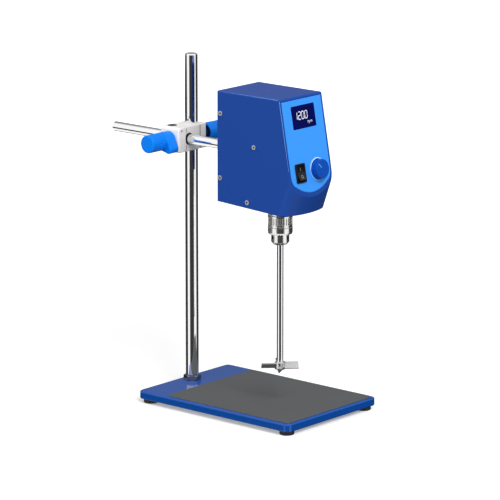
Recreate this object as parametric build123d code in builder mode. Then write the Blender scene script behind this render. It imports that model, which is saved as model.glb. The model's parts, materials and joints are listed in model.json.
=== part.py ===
from build123d import *
import math
import os

os.makedirs("parts", exist_ok=True)

# ---------------------------------------------------------------- driving sizes, mm
# base plate, mat and feet
PLATE_W = 168.0
PLATE_L = 242.0
PLATE_T = 10.0
PLATE_R = 7.0
PLATE_EDGE = 2.2
FOOT_D = 18.0
FOOT_H = 5.5
FOOT_IN = 11.5
FOOT_BORE_D = 8.4
FOOT_BORE_H = 3.0
FOOT_SCREW_D = 4.0
FOOT_SCREW_HEAD = 7.4
MAT_T = 1.0
MAT_EDGE = 4.0
MAT_REAR = 45.0
MAT_R = 5.0

# upright rod and the nut it stands on
ROD_D = 16.0
ROD_H = 411.0
ROD_IN = 15.0
STUD_D = 12.0
NUT_AF = 19.0
NUT_H = 6.0

# side arm
ARM_D = 12.0
ARM_REAR = 109.0
ARM_X = -20.0
ARM_UP = 309.5

# boss head clamp
CLAMP_H = 31.0
CLAMP_D = 28.0
CLAMP_RIGHT = 11.4
CLAMP_LEFT = 26.2
CLAMP_BOSS = 40.0
CLAMP_STEP = 1.0
CLAMP_SEAM = 0.4
CLAMP_EDGE = 1.2
SCREW_D = 8.0
GRIP_D = 22.0
GRIP_L = 25.2
FLANGE_T = 15.0
FLANGE_R = 11.2
LOBE_OUT = 14.0
LOBE_R = 5.2
RIGHT_GAP = 12.9
LEFT_GAP = 0.5
RIGHT_TURN = 90.0
LEFT_TURN = -41.0

# drive head
HEAD_BACK = 94.0
HEAD_W = 77.5
HEAD_UP = 75.0
HEAD_DOWN = 60.0
HEAD_SAG = 5.5
HEAD_TIP = 110.3
FLAT_TOP = 96.7
FLAT_LEAN = 0.18
NOSE_FOOT = 102.3
NOSE_LEAN = 0.3625
NOSE_BULGE = 8.0
NOSE_R = 10.0
WALL = 2.5
COVER_T = 3.0
COVER_RIM = 10.0
SOCKET_L = 22.0
FIT = 0.05

# control panel, heights above the arm axis
OVERLAY_IN = 2.9
OVERLAY_T = 0.8
RECESS = 0.5
LCD_W = 42.0
LCD_H = 27.6
LCD_X = 0.5
LCD_UP = 50.7
KNOB_X = 13.0
KNOB_UP = -13.5
KNOB_D = 24.0
KNOB_H = 9.0
POINTER_TURN = 45.0
RING_D = 28.6
SWITCH_X = -18.8
SWITCH_UP = -13.8
SWITCH_W = 17.2
SWITCH_H = 22.8
ROCKER_W = 12.4
ROCKER_L = 18.4
ROCKER_TILT = 10.0
AXLE_D = 2.0

# motor, spindle and bearings
SPINDLE_OUT = 160.0
MOTOR_D = 52.0
MOTOR_WALL = 4.5
DECK_DOWN = 49.0
DECK_T = 4.0
MOTOR_H = 65.0
MOTOR_NOSE_D = 31.8
BEARING_W = 8.0
LOWER_OD = 28.0
LOWER_ID = 12.0
UPPER_OD = 26.0
UPPER_ID = 10.0
CAP_T = 6.0
BRACKET_T = 3.0
DECK_L = 62.0
STATOR_UP = 18.0
STATOR_H = 34.0
STATOR_SHARE = 8.2 / 11.78  # stator depth over the room left between can and spindle
ROTOR_GAP = 1.07
MAGNET_T = 1.58
BOARD_W = 66.0
BOARD_L = 52.0

# chuck
SLEEVE_D = 30.0
SLEEVE_LOW = 213.0
SLEEVE_H = 28.0
NOSE_D = 22.0
NOSE_LOW = 199.7
BORE_D = 10.5
JAW_D = 6.0
JAW_LEAN = 10.0
JAW_TIP = 4.6
JAW_L = 29.5
NUT_LOW = 11.4
NUT_T = 6.2

# stirring shaft and impeller
SHAFT_D = 8.0
SHAFT_LOW = 44.5
HUB_D = 13.0
HUB_H = 9.2
IMPELLER_D = 45.0
BLADE_W = 9.6
BLADE_T = 1.6
BLADE_ANGLE = 45.0

# small fixings
M3 = 3.0
M3_HEAD = 5.8
M3_TALL = 1.8
SIDE_SCREWS = ((-5.9, 48.2), (-5.2, -30.5), (-58.5, 13.4), (-47.9, -55.0))

# ---------------------------------------------------------------- positions
LOW = (Align.CENTER, Align.CENTER, Align.MIN)
HIGH = (Align.CENTER, Align.CENTER, Align.MAX)
ROD_Y = (PLATE_L - ROD_IN - ARM_REAR) / 2
PLATE_Z = FOOT_H + PLATE_T
PLATE_Y = ROD_Y + ROD_IN - PLATE_L / 2
ARM_Z = PLATE_Z + ARM_UP
HEAD_Y = ROD_Y - HEAD_BACK
SPINDLE_Y = ROD_Y - SPINDLE_OUT
HEAD_TOP = ARM_Z + HEAD_UP
HEAD_LOW = ARM_Z - HEAD_DOWN
SLOPE = HEAD_SAG / HEAD_TIP
TILT = math.sqrt(1 + FLAT_LEAN**2)
INNER = HEAD_W / 2 - WALL - FIT
DECK_Z = ARM_Z - DECK_DOWN
CAN_Z = DECK_Z + DECK_T
CAN_TOP = CAN_Z + MOTOR_H
BRACKET_Z = CAN_TOP + CAP_T
NOSE_Z = HEAD_LOW - SLOPE * (HEAD_Y - SPINDLE_Y) - 0.7
SLEEVE_Z = PLATE_Z + SLEEVE_LOW
NOSE_TIP = PLATE_Z + NOSE_LOW
SHAFT_Z = PLATE_Z + SHAFT_LOW
AXIS = (ARM_X, SPINDLE_Y)
BOLT_R = MOTOR_NOSE_D / 2 + 3.6


def flat_y(z):
    return HEAD_Y - FLAT_TOP - FLAT_LEAN * (HEAD_TOP - z)


def panel_at(x, up, out):
    # a plane lying on the sloping front panel, its normal pointing out of the panel
    z = ARM_Z + up
    base = Plane(origin=(ARM_X + x, flat_y(z), z), x_dir=(1, 0, 0), z_dir=(0, -1, FLAT_LEAN))
    return base.offset(out)


# ---------------------------------------------------------------- base
foot_spots = [
    (sx * (PLATE_W / 2 - FOOT_IN), PLATE_Y + sy * (PLATE_L / 2 - FOOT_IN))
    for sx in (-1, 1)
    for sy in (-1, 1)
]

with BuildPart() as base_plate:
    with Locations((0, PLATE_Y, FOOT_H)):
        Box(PLATE_W, PLATE_L, PLATE_T, align=LOW)
    fillet(base_plate.edges().filter_by(Axis.Z), radius=PLATE_R)
    fillet(base_plate.faces().sort_by(Axis.Z)[-1].edges(), radius=PLATE_EDGE)
    chamfer(base_plate.faces().sort_by(Axis.Z)[0].edges(), length=0.8)
    with Locations((0, ROD_Y, FOOT_H)):
        Cylinder(STUD_D / 2 + FIT, PLATE_T, align=LOW, mode=Mode.SUBTRACT)
    with Locations([(x, y, FOOT_H) for x, y in foot_spots]):
        Cylinder(FOOT_SCREW_D / 2 + FIT, 7.0, align=LOW, mode=Mode.SUBTRACT)
base_plate.part.label = "base_plate"
export_step(base_plate.part, "parts/base_plate.step")

with BuildPart() as anti_slip_mat:
    with BuildSketch(Plane.XY.offset(PLATE_Z)):
        with Locations((0, PLATE_Y - PLATE_L / 2 + MAT_EDGE)):
            Rectangle(
                PLATE_W - 2 * MAT_EDGE,
                PLATE_L - MAT_EDGE - MAT_REAR,
                align=(Align.CENTER, Align.MIN),
            )
        fillet(vertices(), radius=MAT_R)
    extrude(amount=MAT_T)
    chamfer(anti_slip_mat.faces().sort_by(Axis.Z)[-1].edges(), length=0.3)
anti_slip_mat.part.label = "anti_slip_mat"
export_step(anti_slip_mat.part, "parts/anti_slip_mat.step")

with BuildPart() as rubber_feet:
    with Locations([(x, y, 0) for x, y in foot_spots]):
        Cylinder(FOOT_D / 2, FOOT_H, align=LOW)
    chamfer(rubber_feet.faces().group_by(Axis.Z)[0].edges(), length=0.8)
    with Locations([(x, y, 0) for x, y in foot_spots]):
        Cylinder(FOOT_BORE_D / 2, FOOT_BORE_H, align=LOW, mode=Mode.SUBTRACT)
        Cylinder(FOOT_SCREW_D / 2 + FIT, FOOT_H, align=LOW, mode=Mode.SUBTRACT)
rubber_feet.part.label = "rubber_feet"
export_step(rubber_feet.part, "parts/rubber_feet.step")

with BuildPart() as foot_screws:
    with Locations([(x, y, FOOT_BORE_H) for x, y in foot_spots]):
        Cylinder(FOOT_SCREW_HEAD / 2, 2.0, align=HIGH)
    chamfer(foot_screws.faces().group_by(Axis.Z)[0].edges(), length=0.6)
    with Locations([(x, y, FOOT_BORE_H) for x, y in foot_spots]):
        Cylinder(FOOT_SCREW_D / 2, FOOT_H - FOOT_BORE_H + 6.0, align=LOW)
    with Locations([(x, y, FOOT_BORE_H - 2.0) for x, y in foot_spots]):
        Box(4.0, 0.8, 1.0, align=LOW, mode=Mode.SUBTRACT)
        Box(0.8, 4.0, 1.0, align=LOW, mode=Mode.SUBTRACT)
foot_screws.part.label = "foot_screws"
export_step(foot_screws.part, "parts/foot_screws.step")

with BuildPart() as rod_jam_nut:
    with BuildSketch(Plane.XY.offset(PLATE_Z)):
        with Locations((0, ROD_Y)):
            RegularPolygon(NUT_AF / 2, 6, major_radius=False, rotation=12)
    extrude(amount=NUT_H)
    with BuildSketch(Plane.YZ, mode=Mode.PRIVATE) as crown:
        with BuildLine():
            tall = NUT_AF / 2 * 1.1547
            Polyline(
                (ROD_Y, PLATE_Z),
                (ROD_Y + NUT_AF / 2, PLATE_Z),
                (ROD_Y + tall, PLATE_Z + 1.0),
                (ROD_Y + tall, PLATE_Z + NUT_H - 1.0),
                (ROD_Y + NUT_AF / 2, PLATE_Z + NUT_H),
                (ROD_Y, PLATE_Z + NUT_H),
                close=True,
            )
        make_face()
    revolve(crown.sketch, axis=Axis((0, ROD_Y, 0), (0, 0, 1)), mode=Mode.INTERSECT)
    with Locations((0, ROD_Y, PLATE_Z)):
        Cylinder(STUD_D / 2 + FIT, NUT_H, align=LOW, mode=Mode.SUBTRACT)
rod_jam_nut.part.label = "rod_jam_nut"
export_step(rod_jam_nut.part, "parts/rod_jam_nut.step")

# ---------------------------------------------------------------- upright rod
with BuildPart() as support_rod:
    with Locations((0, ROD_Y, PLATE_Z + NUT_H + 0.05)):
        Cylinder(ROD_D / 2, ROD_H - NUT_H - 0.05, align=LOW)
    chamfer(support_rod.faces().sort_by(Axis.Z)[-1].edges(), length=1.4)
    chamfer(support_rod.faces().sort_by(Axis.Z)[0].edges(), length=0.6)
    with Locations((0, ROD_Y, FOOT_H + 1.0)):
        Cylinder(STUD_D / 2, PLATE_T + NUT_H, align=LOW)
support_rod.part.label = "support_rod"
export_step(support_rod.part, "parts/support_rod.step")

# ---------------------------------------------------------------- boss head clamp
CLAMP_Z = ARM_Z - CLAMP_H / 2
SINK_R = ARM_D / 2 + 1.4
SINK_DEEP = 4.0
with BuildPart() as clamp_middle:
    with Locations((CLAMP_SEAM, ROD_Y, ARM_Z)):
        Box(
            CLAMP_BOSS + CLAMP_SEAM - 5.0,
            CLAMP_D,
            CLAMP_H,
            align=(Align.MAX, Align.CENTER, Align.CENTER),
        )
    fillet(clamp_middle.edges(), radius=CLAMP_EDGE)

with BuildPart() as clamp_right:
    with Locations((CLAMP_SEAM, ROD_Y, ARM_Z)):
        Box(
            CLAMP_RIGHT - CLAMP_SEAM,
            CLAMP_D,
            CLAMP_H,
            align=(Align.MIN, Align.CENTER, Align.CENTER),
        )
    fillet(clamp_right.edges(), radius=CLAMP_EDGE)

with BuildPart() as clamp_core:
    with Locations((0, ROD_Y, ARM_Z)):
        Box(CLAMP_RIGHT, CLAMP_D - 2 * CLAMP_EDGE, CLAMP_H - 2 * CLAMP_EDGE)

with BuildPart() as clamp_left:
    with BuildSketch(Plane.XZ.offset(-ROD_Y)):
        with Locations((-(CLAMP_BOSS + CLAMP_LEFT) / 2, ARM_Z)):
            RectangleRounded(CLAMP_BOSS - CLAMP_LEFT, CLAMP_H, 3.5)
    extrude(amount=CLAMP_D / 2 + CLAMP_STEP, both=True)
    fillet(clamp_left.faces().filter_by(Axis.Y).edges(), radius=1.5)

with BuildPart() as boss_head:
    add(clamp_middle.part)
    add(clamp_right.part)
    add(clamp_core.part)
    add(clamp_left.part)
    with Locations((0, ROD_Y, CLAMP_Z)):
        Cylinder(ROD_D / 2 + FIT, CLAMP_H, align=LOW, mode=Mode.SUBTRACT)
    with Locations(Location((ARM_X, ROD_Y, ARM_Z), (90, 0, 0))):
        Cylinder(ARM_D / 2 + FIT, CLAMP_D + 2, mode=Mode.SUBTRACT)
    # dark sinks round the arm, front and rear
    with Locations(Location((ARM_X, ROD_Y - CLAMP_D / 2 - CLAMP_STEP, ARM_Z), (90, 0, 0))):
        Cylinder(SINK_R, 2 * (SINK_DEEP + CLAMP_STEP), mode=Mode.SUBTRACT)
    with Locations(Location((ARM_X, ROD_Y + CLAMP_D / 2 + CLAMP_STEP, ARM_Z), (90, 0, 0))):
        Cylinder(SINK_R, 2 * (SINK_DEEP + CLAMP_STEP), mode=Mode.SUBTRACT)
    with Locations(Location((0, ROD_Y, ARM_Z), (0, 90, 0))):
        Cylinder(SCREW_D / 2 + FIT, CLAMP_RIGHT + 2, align=LOW, mode=Mode.SUBTRACT)
    with Locations(Location((ARM_X, ROD_Y, ARM_Z), (0, -90, 0))):
        Cylinder(SCREW_D / 2 + FIT, CLAMP_BOSS, align=LOW, mode=Mode.SUBTRACT)
    # round pocket in the top face and a small hole in the front
    with Locations((-(CLAMP_BOSS + ROD_D) / 2, ROD_Y + 6.5, ARM_Z + CLAMP_H / 2)):
        Cylinder(6.2, 5.0, align=HIGH, mode=Mode.SUBTRACT)
    with Locations(
        Location(
            (-CLAMP_BOSS + 5.8, ROD_Y - CLAMP_D / 2 - CLAMP_STEP, ARM_Z + CLAMP_H / 2 - 4.2),
            (90, 0, 0),
        )
    ):
        Cylinder(1.2, 8.0, mode=Mode.SUBTRACT)
boss_head.part.label = "boss_head"
export_step(boss_head.part, "parts/boss_head.step")

RIGHT_FACE = Plane(
    origin=(CLAMP_RIGHT + RIGHT_GAP, ROD_Y, ARM_Z), x_dir=(0, -1, 0), z_dir=(1, 0, 0)
)
LEFT_FACE = Plane(
    origin=(-CLAMP_BOSS - LEFT_GAP, ROD_Y, ARM_Z), x_dir=(0, -1, 0), z_dir=(-1, 0, 0)
)


def clamp_knob(face, lobe_angle):
    spread = math.acos((FLANGE_R - LOBE_R) / LOBE_OUT)
    lobe = math.radians(lobe_angle)
    centre = (LOBE_OUT * math.cos(lobe), LOBE_OUT * math.sin(lobe))
    rim = []
    for sign in (-1, 1):
        way = (math.cos(lobe + sign * spread), math.sin(lobe + sign * spread))
        rim.append((FLANGE_R * way[0], FLANGE_R * way[1]))
        rim.append((centre[0] + LOBE_R * way[0], centre[1] + LOBE_R * way[1]))
    reach = LOBE_OUT + LOBE_R
    tip = (reach * math.cos(lobe), reach * math.sin(lobe))
    back = (-FLANGE_R * math.cos(lobe), -FLANGE_R * math.sin(lobe))
    with BuildPart() as knob:
        with BuildSketch(face):
            with BuildLine():
                Line(rim[0], rim[1])
                ThreePointArc(rim[1], tip, rim[3])
                Line(rim[3], rim[2])
                ThreePointArc(rim[2], back, rim[0])
            make_face()
        extrude(amount=FLANGE_T)
        fillet(knob.faces().filter_by(Axis.X).edges(), radius=1.6)
        with BuildSketch(face.offset(FLANGE_T)):
            Circle(GRIP_D / 2)
        extrude(amount=GRIP_L)
        ends = knob.faces().filter_by(Axis.X).sort_by(Axis.X)
        outer = ends[0] if face.z_dir.X < 0 else ends[-1]
        fillet(outer.edges(), radius=1.6)
        with BuildSketch(face.offset(FLANGE_T + 2.5)):
            with PolarLocations(GRIP_D / 2 + 0.5, 24):
                Circle(1.0)
        extrude(amount=GRIP_L - 7.0, mode=Mode.SUBTRACT)
        with BuildSketch(face):
            Circle(SCREW_D / 2 + 0.02)
        extrude(amount=FLANGE_T - 3.0, mode=Mode.SUBTRACT)
    return knob.part


def clamp_screw(tip_gap, face, reach):
    with BuildPart() as screw:
        with BuildSketch(face.offset(-reach + tip_gap)):
            Circle(SCREW_D / 2)
        extrude(amount=reach - tip_gap + FLANGE_T - 3.2)
        ends = screw.faces().filter_by(Axis.X).sort_by(Axis.X)
        chamfer(ends[0].edges() + ends[-1].edges(), length=0.9)
    return screw.part


with BuildPart() as rod_clamp_knob:
    add(clamp_knob(RIGHT_FACE, RIGHT_TURN))
rod_clamp_knob.part.label = "rod_clamp_knob"
export_step(rod_clamp_knob.part, "parts/rod_clamp_knob.step")

with BuildPart() as arm_clamp_knob:
    add(clamp_knob(LEFT_FACE, LEFT_TURN))
arm_clamp_knob.part.label = "arm_clamp_knob"
export_step(arm_clamp_knob.part, "parts/arm_clamp_knob.step")

with BuildPart() as rod_clamp_screw:
    add(clamp_screw(0.1, RIGHT_FACE, CLAMP_RIGHT + RIGHT_GAP - ROD_D / 2))
rod_clamp_screw.part.label = "rod_clamp_screw"
export_step(rod_clamp_screw.part, "parts/rod_clamp_screw.step")

with BuildPart() as arm_clamp_screw:
    add(clamp_screw(0.1, LEFT_FACE, CLAMP_BOSS + LEFT_GAP + ARM_X - ARM_D / 2))
arm_clamp_screw.part.label = "arm_clamp_screw"
export_step(arm_clamp_screw.part, "parts/arm_clamp_screw.step")

# ---------------------------------------------------------------- side arm
ARM_END = HEAD_Y - SOCKET_L
GROOVE_Y = ARM_END + 7.0
with BuildPart() as support_arm:
    with Locations(Location((ARM_X, ROD_Y + ARM_REAR, ARM_Z), (90, 0, 0))):
        Cylinder(ARM_D / 2, ROD_Y + ARM_REAR - ARM_END, align=LOW)
    chamfer(support_arm.faces().filter_by(Axis.Y).edges(), length=1.0)
    with Locations(Location((ARM_X, GROOVE_Y, ARM_Z), (90, 0, 0))):
        Cylinder(ARM_D / 2 + 1, 3.4, mode=Mode.SUBTRACT)
        Cylinder(ARM_D / 2 - 1.2, 3.6)
support_arm.part.label = "support_arm"
export_step(support_arm.part, "parts/support_arm.step")


# ---------------------------------------------------------------- drive head shell
def nose_loft(inset, back):
    # the bullet-shaped plan, leaning forward as it rises
    with BuildPart() as block:
        for z in (HEAD_LOW - HEAD_SAG - 12.0, HEAD_TOP + 4.0):
            half = HEAD_W / 2 - inset
            tip = HEAD_Y - NOSE_FOOT - NOSE_LEAN * (z - HEAD_LOW + HEAD_SAG)
            tip = tip + inset * math.sqrt(1 + NOSE_LEAN**2)
            with BuildSketch(Plane.XY.offset(z)):
                with BuildLine():
                    Polyline(
                        (ARM_X - half, tip),
                        (ARM_X - half, back),
                        (ARM_X + half, back),
                        (ARM_X + half, tip),
                    )
                    ThreePointArc(
                        (ARM_X + half, tip), (ARM_X, tip - NOSE_BULGE), (ARM_X - half, tip)
                    )
                make_face()
                fillet(vertices().group_by(Axis.Y)[0], radius=NOSE_R - inset)
        loft(ruled=True)
    return block.part


def head_solid(inset, back):
    with BuildPart() as block:
        add(nose_loft(inset, back))
        split(bisect_by=panel_at(0, 0, -inset), keep=Keep.BOTTOM)
        split(bisect_by=Plane.XY.offset(HEAD_TOP - inset), keep=Keep.BOTTOM)
        floor = Plane(
            origin=(ARM_X, HEAD_Y, HEAD_LOW + inset), x_dir=(1, 0, 0), z_dir=(0, -SLOPE, 1)
        )
        split(bisect_by=floor, keep=Keep.TOP)
    return block.part


BOARD_X = 29.0
BOARD_UPS = (13.0, 66.0)
MODULE_T = 6.0
BOARD_OUT = -WALL - MODULE_T

# shallow seat for the overlay, cut to the same outline
with BuildPart() as overlay_seat:
    add(nose_loft(OVERLAY_IN - 0.1, HEAD_Y))
    split(bisect_by=panel_at(0, 0, -RECESS), keep=Keep.TOP)
    split(bisect_by=Plane.XY.offset(HEAD_TOP - OVERLAY_IN - 0.5), keep=Keep.BOTTOM)

with BuildPart() as housing_shell:
    add(head_solid(0, HEAD_Y))
    fillet(housing_shell.faces().sort_by(Axis.Z)[-1].edges().sort_by(Axis.Y)[:-1], radius=1.8)
    add(head_solid(WALL, HEAD_Y + 5), mode=Mode.SUBTRACT)
    add(overlay_seat.part, mode=Mode.SUBTRACT)
    # bosses for the control board
    for up in BOARD_UPS:
        for x in (-BOARD_X, BOARD_X):
            with BuildSketch(panel_at(x, up, BOARD_OUT)):
                Circle(3.0)
            extrude(amount=MODULE_T + 0.2)
            with BuildSketch(panel_at(x, up, BOARD_OUT)):
                Circle(1.25)
            extrude(amount=5.0, mode=Mode.SUBTRACT)
    # openings of the panel
    with BuildSketch(panel_at(LCD_X, LCD_UP, 1)):
        RectangleRounded(LCD_W + 0.1, LCD_H + 0.1, 1.0)
    extrude(amount=-WALL - 2, mode=Mode.SUBTRACT)
    with BuildSketch(panel_at(SWITCH_X, SWITCH_UP, 1)):
        Rectangle(ROCKER_W + 2.2, ROCKER_L + 3.6)
    extrude(amount=-WALL - 2, mode=Mode.SUBTRACT)
    with BuildSketch(panel_at(KNOB_X, KNOB_UP, 1)):
        Circle(3.6)
    extrude(amount=-WALL - 2, mode=Mode.SUBTRACT)
    # spindle opening and side screw holes
    with Locations((ARM_X, SPINDLE_Y, NOSE_Z - 4)):
        Cylinder(MOTOR_NOSE_D / 2 + 1.0, 14.0, align=LOW, mode=Mode.SUBTRACT)
    with Locations([(ARM_X, HEAD_Y + y, ARM_Z + z) for y, z in SIDE_SCREWS]):
        Cylinder(M3 / 2 + FIT, HEAD_W + 2, rotation=(0, 90, 0), mode=Mode.SUBTRACT)
housing_shell.part.label = "housing_shell"
export_step(housing_shell.part, "parts/housing_shell.step")

with BuildPart() as control_overlay:
    add(nose_loft(OVERLAY_IN, HEAD_Y))
    split(bisect_by=panel_at(0, 0, -RECESS), keep=Keep.TOP)
    split(bisect_by=panel_at(0, 0, OVERLAY_T - RECESS), keep=Keep.BOTTOM)
    split(bisect_by=Plane.XY.offset(HEAD_TOP - OVERLAY_IN - 0.6), keep=Keep.BOTTOM)
    with BuildSketch(panel_at(LCD_X, LCD_UP, 2)):
        RectangleRounded(LCD_W + 0.1, LCD_H + 0.1, 1.0)
    extrude(amount=-4, mode=Mode.SUBTRACT)
    with BuildSketch(panel_at(SWITCH_X, SWITCH_UP, 2)):
        Rectangle(ROCKER_W + 2.2, ROCKER_L + 3.6)
    extrude(amount=-4, mode=Mode.SUBTRACT)
    with BuildSketch(panel_at(KNOB_X, KNOB_UP, 2)):
        Circle(3.6)
    extrude(amount=-4, mode=Mode.SUBTRACT)
control_overlay.part.label = "control_overlay"
export_step(control_overlay.part, "parts/control_overlay.step")
FACE = OVERLAY_T - RECESS

with BuildPart() as display_lens:
    with BuildSketch(panel_at(LCD_X, LCD_UP, -WALL)):
        RectangleRounded(LCD_W, LCD_H, 1.0)
    extrude(amount=WALL + FACE + 0.2)
display_lens.part.label = "display_lens"
export_step(display_lens.part, "parts/display_lens.step")

with BuildPart() as display_module:
    with BuildSketch(panel_at(LCD_X, LCD_UP, BOARD_OUT)):
        Rectangle(LCD_W + 7, LCD_H + 5)
    extrude(amount=MODULE_T)
    fillet(display_module.edges().filter_by(Axis.X, reverse=True), radius=0.4)
display_module.part.label = "display_module"
export_step(display_module.part, "parts/display_module.step")

with BuildPart() as control_board:
    low_up = BOARD_UPS[0] - 4.0
    high_up = BOARD_UPS[1] + 4.0
    mid_up = (low_up + high_up) / 2
    with BuildSketch(panel_at(0, mid_up, BOARD_OUT)):
        RectangleRounded(2 * BOARD_X + 7, (high_up - low_up) * TILT, 1.5)
    extrude(amount=-1.6)
    for up in BOARD_UPS:
        for x in (-BOARD_X, BOARD_X):
            with BuildSketch(panel_at(x, up, BOARD_OUT)):
                Circle(1.4)
            extrude(amount=-1.6, mode=Mode.SUBTRACT)
    with BuildSketch(panel_at(-6, mid_up - 12, BOARD_OUT - 1.6)):
        Rectangle(12, 12)
    extrude(amount=-1.2)
    with BuildSketch(panel_at(14, mid_up - 14, BOARD_OUT - 1.6)):
        Rectangle(14, 6)
    extrude(amount=-3.5)
control_board.part.label = "control_board"
export_step(control_board.part, "parts/control_board.step")

# ---------------------------------------------------------------- speed control
with BuildPart() as encoder:
    with BuildSketch(panel_at(KNOB_X, KNOB_UP, -WALL - 7.0)):
        Rectangle(12.5, 13.5)
    extrude(amount=7.0)
    with BuildSketch(panel_at(KNOB_X, KNOB_UP, -WALL)):
        Circle(3.5)
    extrude(amount=WALL + 3.2)
    with BuildSketch(panel_at(KNOB_X, KNOB_UP, -WALL - 6.0)):
        Circle(3.0 + 0.06)
    extrude(amount=WALL + 6.0 + 3.2, mode=Mode.SUBTRACT)
encoder.part.label = "encoder"
export_step(encoder.part, "parts/encoder.step")

with BuildPart() as encoder_nut:
    with BuildSketch(panel_at(KNOB_X, KNOB_UP, FACE)):
        RegularPolygon(5.0, 6, major_radius=False)
        Circle(3.52, mode=Mode.SUBTRACT)
    extrude(amount=2.0)
encoder_nut.part.label = "encoder_nut"
export_step(encoder_nut.part, "parts/encoder_nut.step")

with BuildPart() as knob_ring:
    with BuildSketch(panel_at(KNOB_X, KNOB_UP, FACE)):
        Circle(RING_D / 2)
        Circle(KNOB_D / 2 + 0.5, mode=Mode.SUBTRACT)
    extrude(amount=1.0)
    chamfer(knob_ring.edges().sort_by(Axis((0, 0, 0), (0, -1, FLAT_LEAN)))[-1], length=0.3)
knob_ring.part.label = "knob_ring"
export_step(knob_ring.part, "parts/knob_ring.step")

with BuildPart() as encoder_shaft:
    with BuildSketch(panel_at(KNOB_X, KNOB_UP, -WALL - 5.8)):
        Circle(3.0)
    extrude(amount=WALL + 5.8 + KNOB_H - 3.0)
encoder_shaft.part.label = "encoder_shaft"
export_step(encoder_shaft.part, "parts/encoder_shaft.step")

pointer_out = KNOB_D / 2 - 6.0
pointer_lean = math.radians(POINTER_TURN)
pointer_spot = (-pointer_out * math.sin(pointer_lean), pointer_out * math.cos(pointer_lean))

with BuildPart() as speed_knob:
    with BuildSketch(panel_at(KNOB_X, KNOB_UP, FACE + 0.3)):
        Circle(KNOB_D / 2)
    extrude(amount=KNOB_H - FACE - 0.3, taper=2.5)
    top_face = speed_knob.faces().sort_by(Axis((0, 0, 0), (0, -1, FLAT_LEAN)))[-1]
    fillet(top_face.edges(), radius=1.0)
    with BuildSketch(panel_at(KNOB_X, KNOB_UP, FACE + 2.5)):
        with PolarLocations(KNOB_D / 2 + 0.35, 24):
            Circle(0.9)
    extrude(amount=KNOB_H, mode=Mode.SUBTRACT)
    with BuildSketch(panel_at(KNOB_X, KNOB_UP, FACE)):
        Circle(7.4)
    extrude(amount=3.6, mode=Mode.SUBTRACT)
    with BuildSketch(panel_at(KNOB_X, KNOB_UP, FACE)):
        Circle(3.02)
    extrude(amount=KNOB_H - FACE - 2.8, mode=Mode.SUBTRACT)
    with BuildSketch(panel_at(KNOB_X, KNOB_UP, KNOB_H)):
        with Locations(pointer_spot):
            Rectangle(1.6, 7.2, rotation=POINTER_TURN)
    extrude(amount=-0.6, mode=Mode.SUBTRACT)
speed_knob.part.label = "speed_knob"
export_step(speed_knob.part, "parts/speed_knob.step")

with BuildPart() as knob_pointer:
    with BuildSketch(panel_at(KNOB_X, KNOB_UP, KNOB_H)):
        with Locations(pointer_spot):
            Rectangle(1.56, 7.16, rotation=POINTER_TURN)
    extrude(amount=-0.6)
knob_pointer.part.label = "knob_pointer"
export_step(knob_pointer.part, "parts/knob_pointer.step")

# ---------------------------------------------------------------- power switch
PIVOT_OUT = -1.2
pivot = panel_at(SWITCH_X, SWITCH_UP, PIVOT_OUT)
across = Plane(origin=pivot.origin, x_dir=pivot.y_dir, z_dir=pivot.x_dir)

with BuildPart() as switch_body:
    with BuildSketch(panel_at(SWITCH_X, SWITCH_UP, FACE)):
        RectangleRounded(SWITCH_W, SWITCH_H, 1.5)
    extrude(amount=1.6)
    with BuildSketch(panel_at(SWITCH_X, SWITCH_UP, FACE)):
        Rectangle(ROCKER_W + 2.0, ROCKER_L + 3.4)
    extrude(amount=-17.0)
    with BuildSketch(panel_at(SWITCH_X, SWITCH_UP, FACE + 1.6)):
        Rectangle(ROCKER_W + 0.4, ROCKER_L + 1.8)
    extrude(amount=-9.0, mode=Mode.SUBTRACT)
    # the axle that the rocker tilts on
    with BuildSketch(across):
        Circle(AXLE_D / 2)
    extrude(amount=ROCKER_W / 2 + 0.7, both=True)
    for x in (-4.0, 0.0, 4.0):
        with BuildSketch(panel_at(SWITCH_X + x, SWITCH_UP, FACE - 17.0)):
            Rectangle(0.8, 4.8)
        extrude(amount=-4.0)
switch_body.part.label = "switch_body"
export_step(switch_body.part, "parts/switch_body.step")

with BuildPart() as power_rocker:
    lean = math.radians(ROCKER_TILT)
    along = pivot.y_dir * math.cos(lean) - pivot.z_dir * math.sin(lean)
    side = Plane(origin=pivot.origin, x_dir=along, z_dir=pivot.x_dir)
    half = ROCKER_L / 2
    with BuildSketch(side.offset(-ROCKER_W / 2)):
        with BuildLine():
            ThreePointArc((-half, 4.4), (0, 3.0), (half, 4.4))
            Polyline(
                (half, 4.4),
                (half, 0.4),
                (half - 3, -2.6),
                (-half + 3, -2.6),
                (-half, 0.4),
                (-half, 4.4),
            )
        make_face()
    extrude(amount=ROCKER_W)
    with BuildSketch(side.offset(-ROCKER_W / 2)):
        Circle(AXLE_D / 2 + FIT)
    extrude(amount=ROCKER_W, mode=Mode.SUBTRACT)
power_rocker.part.label = "power_rocker"
export_step(power_rocker.part, "parts/power_rocker.step")

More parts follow.
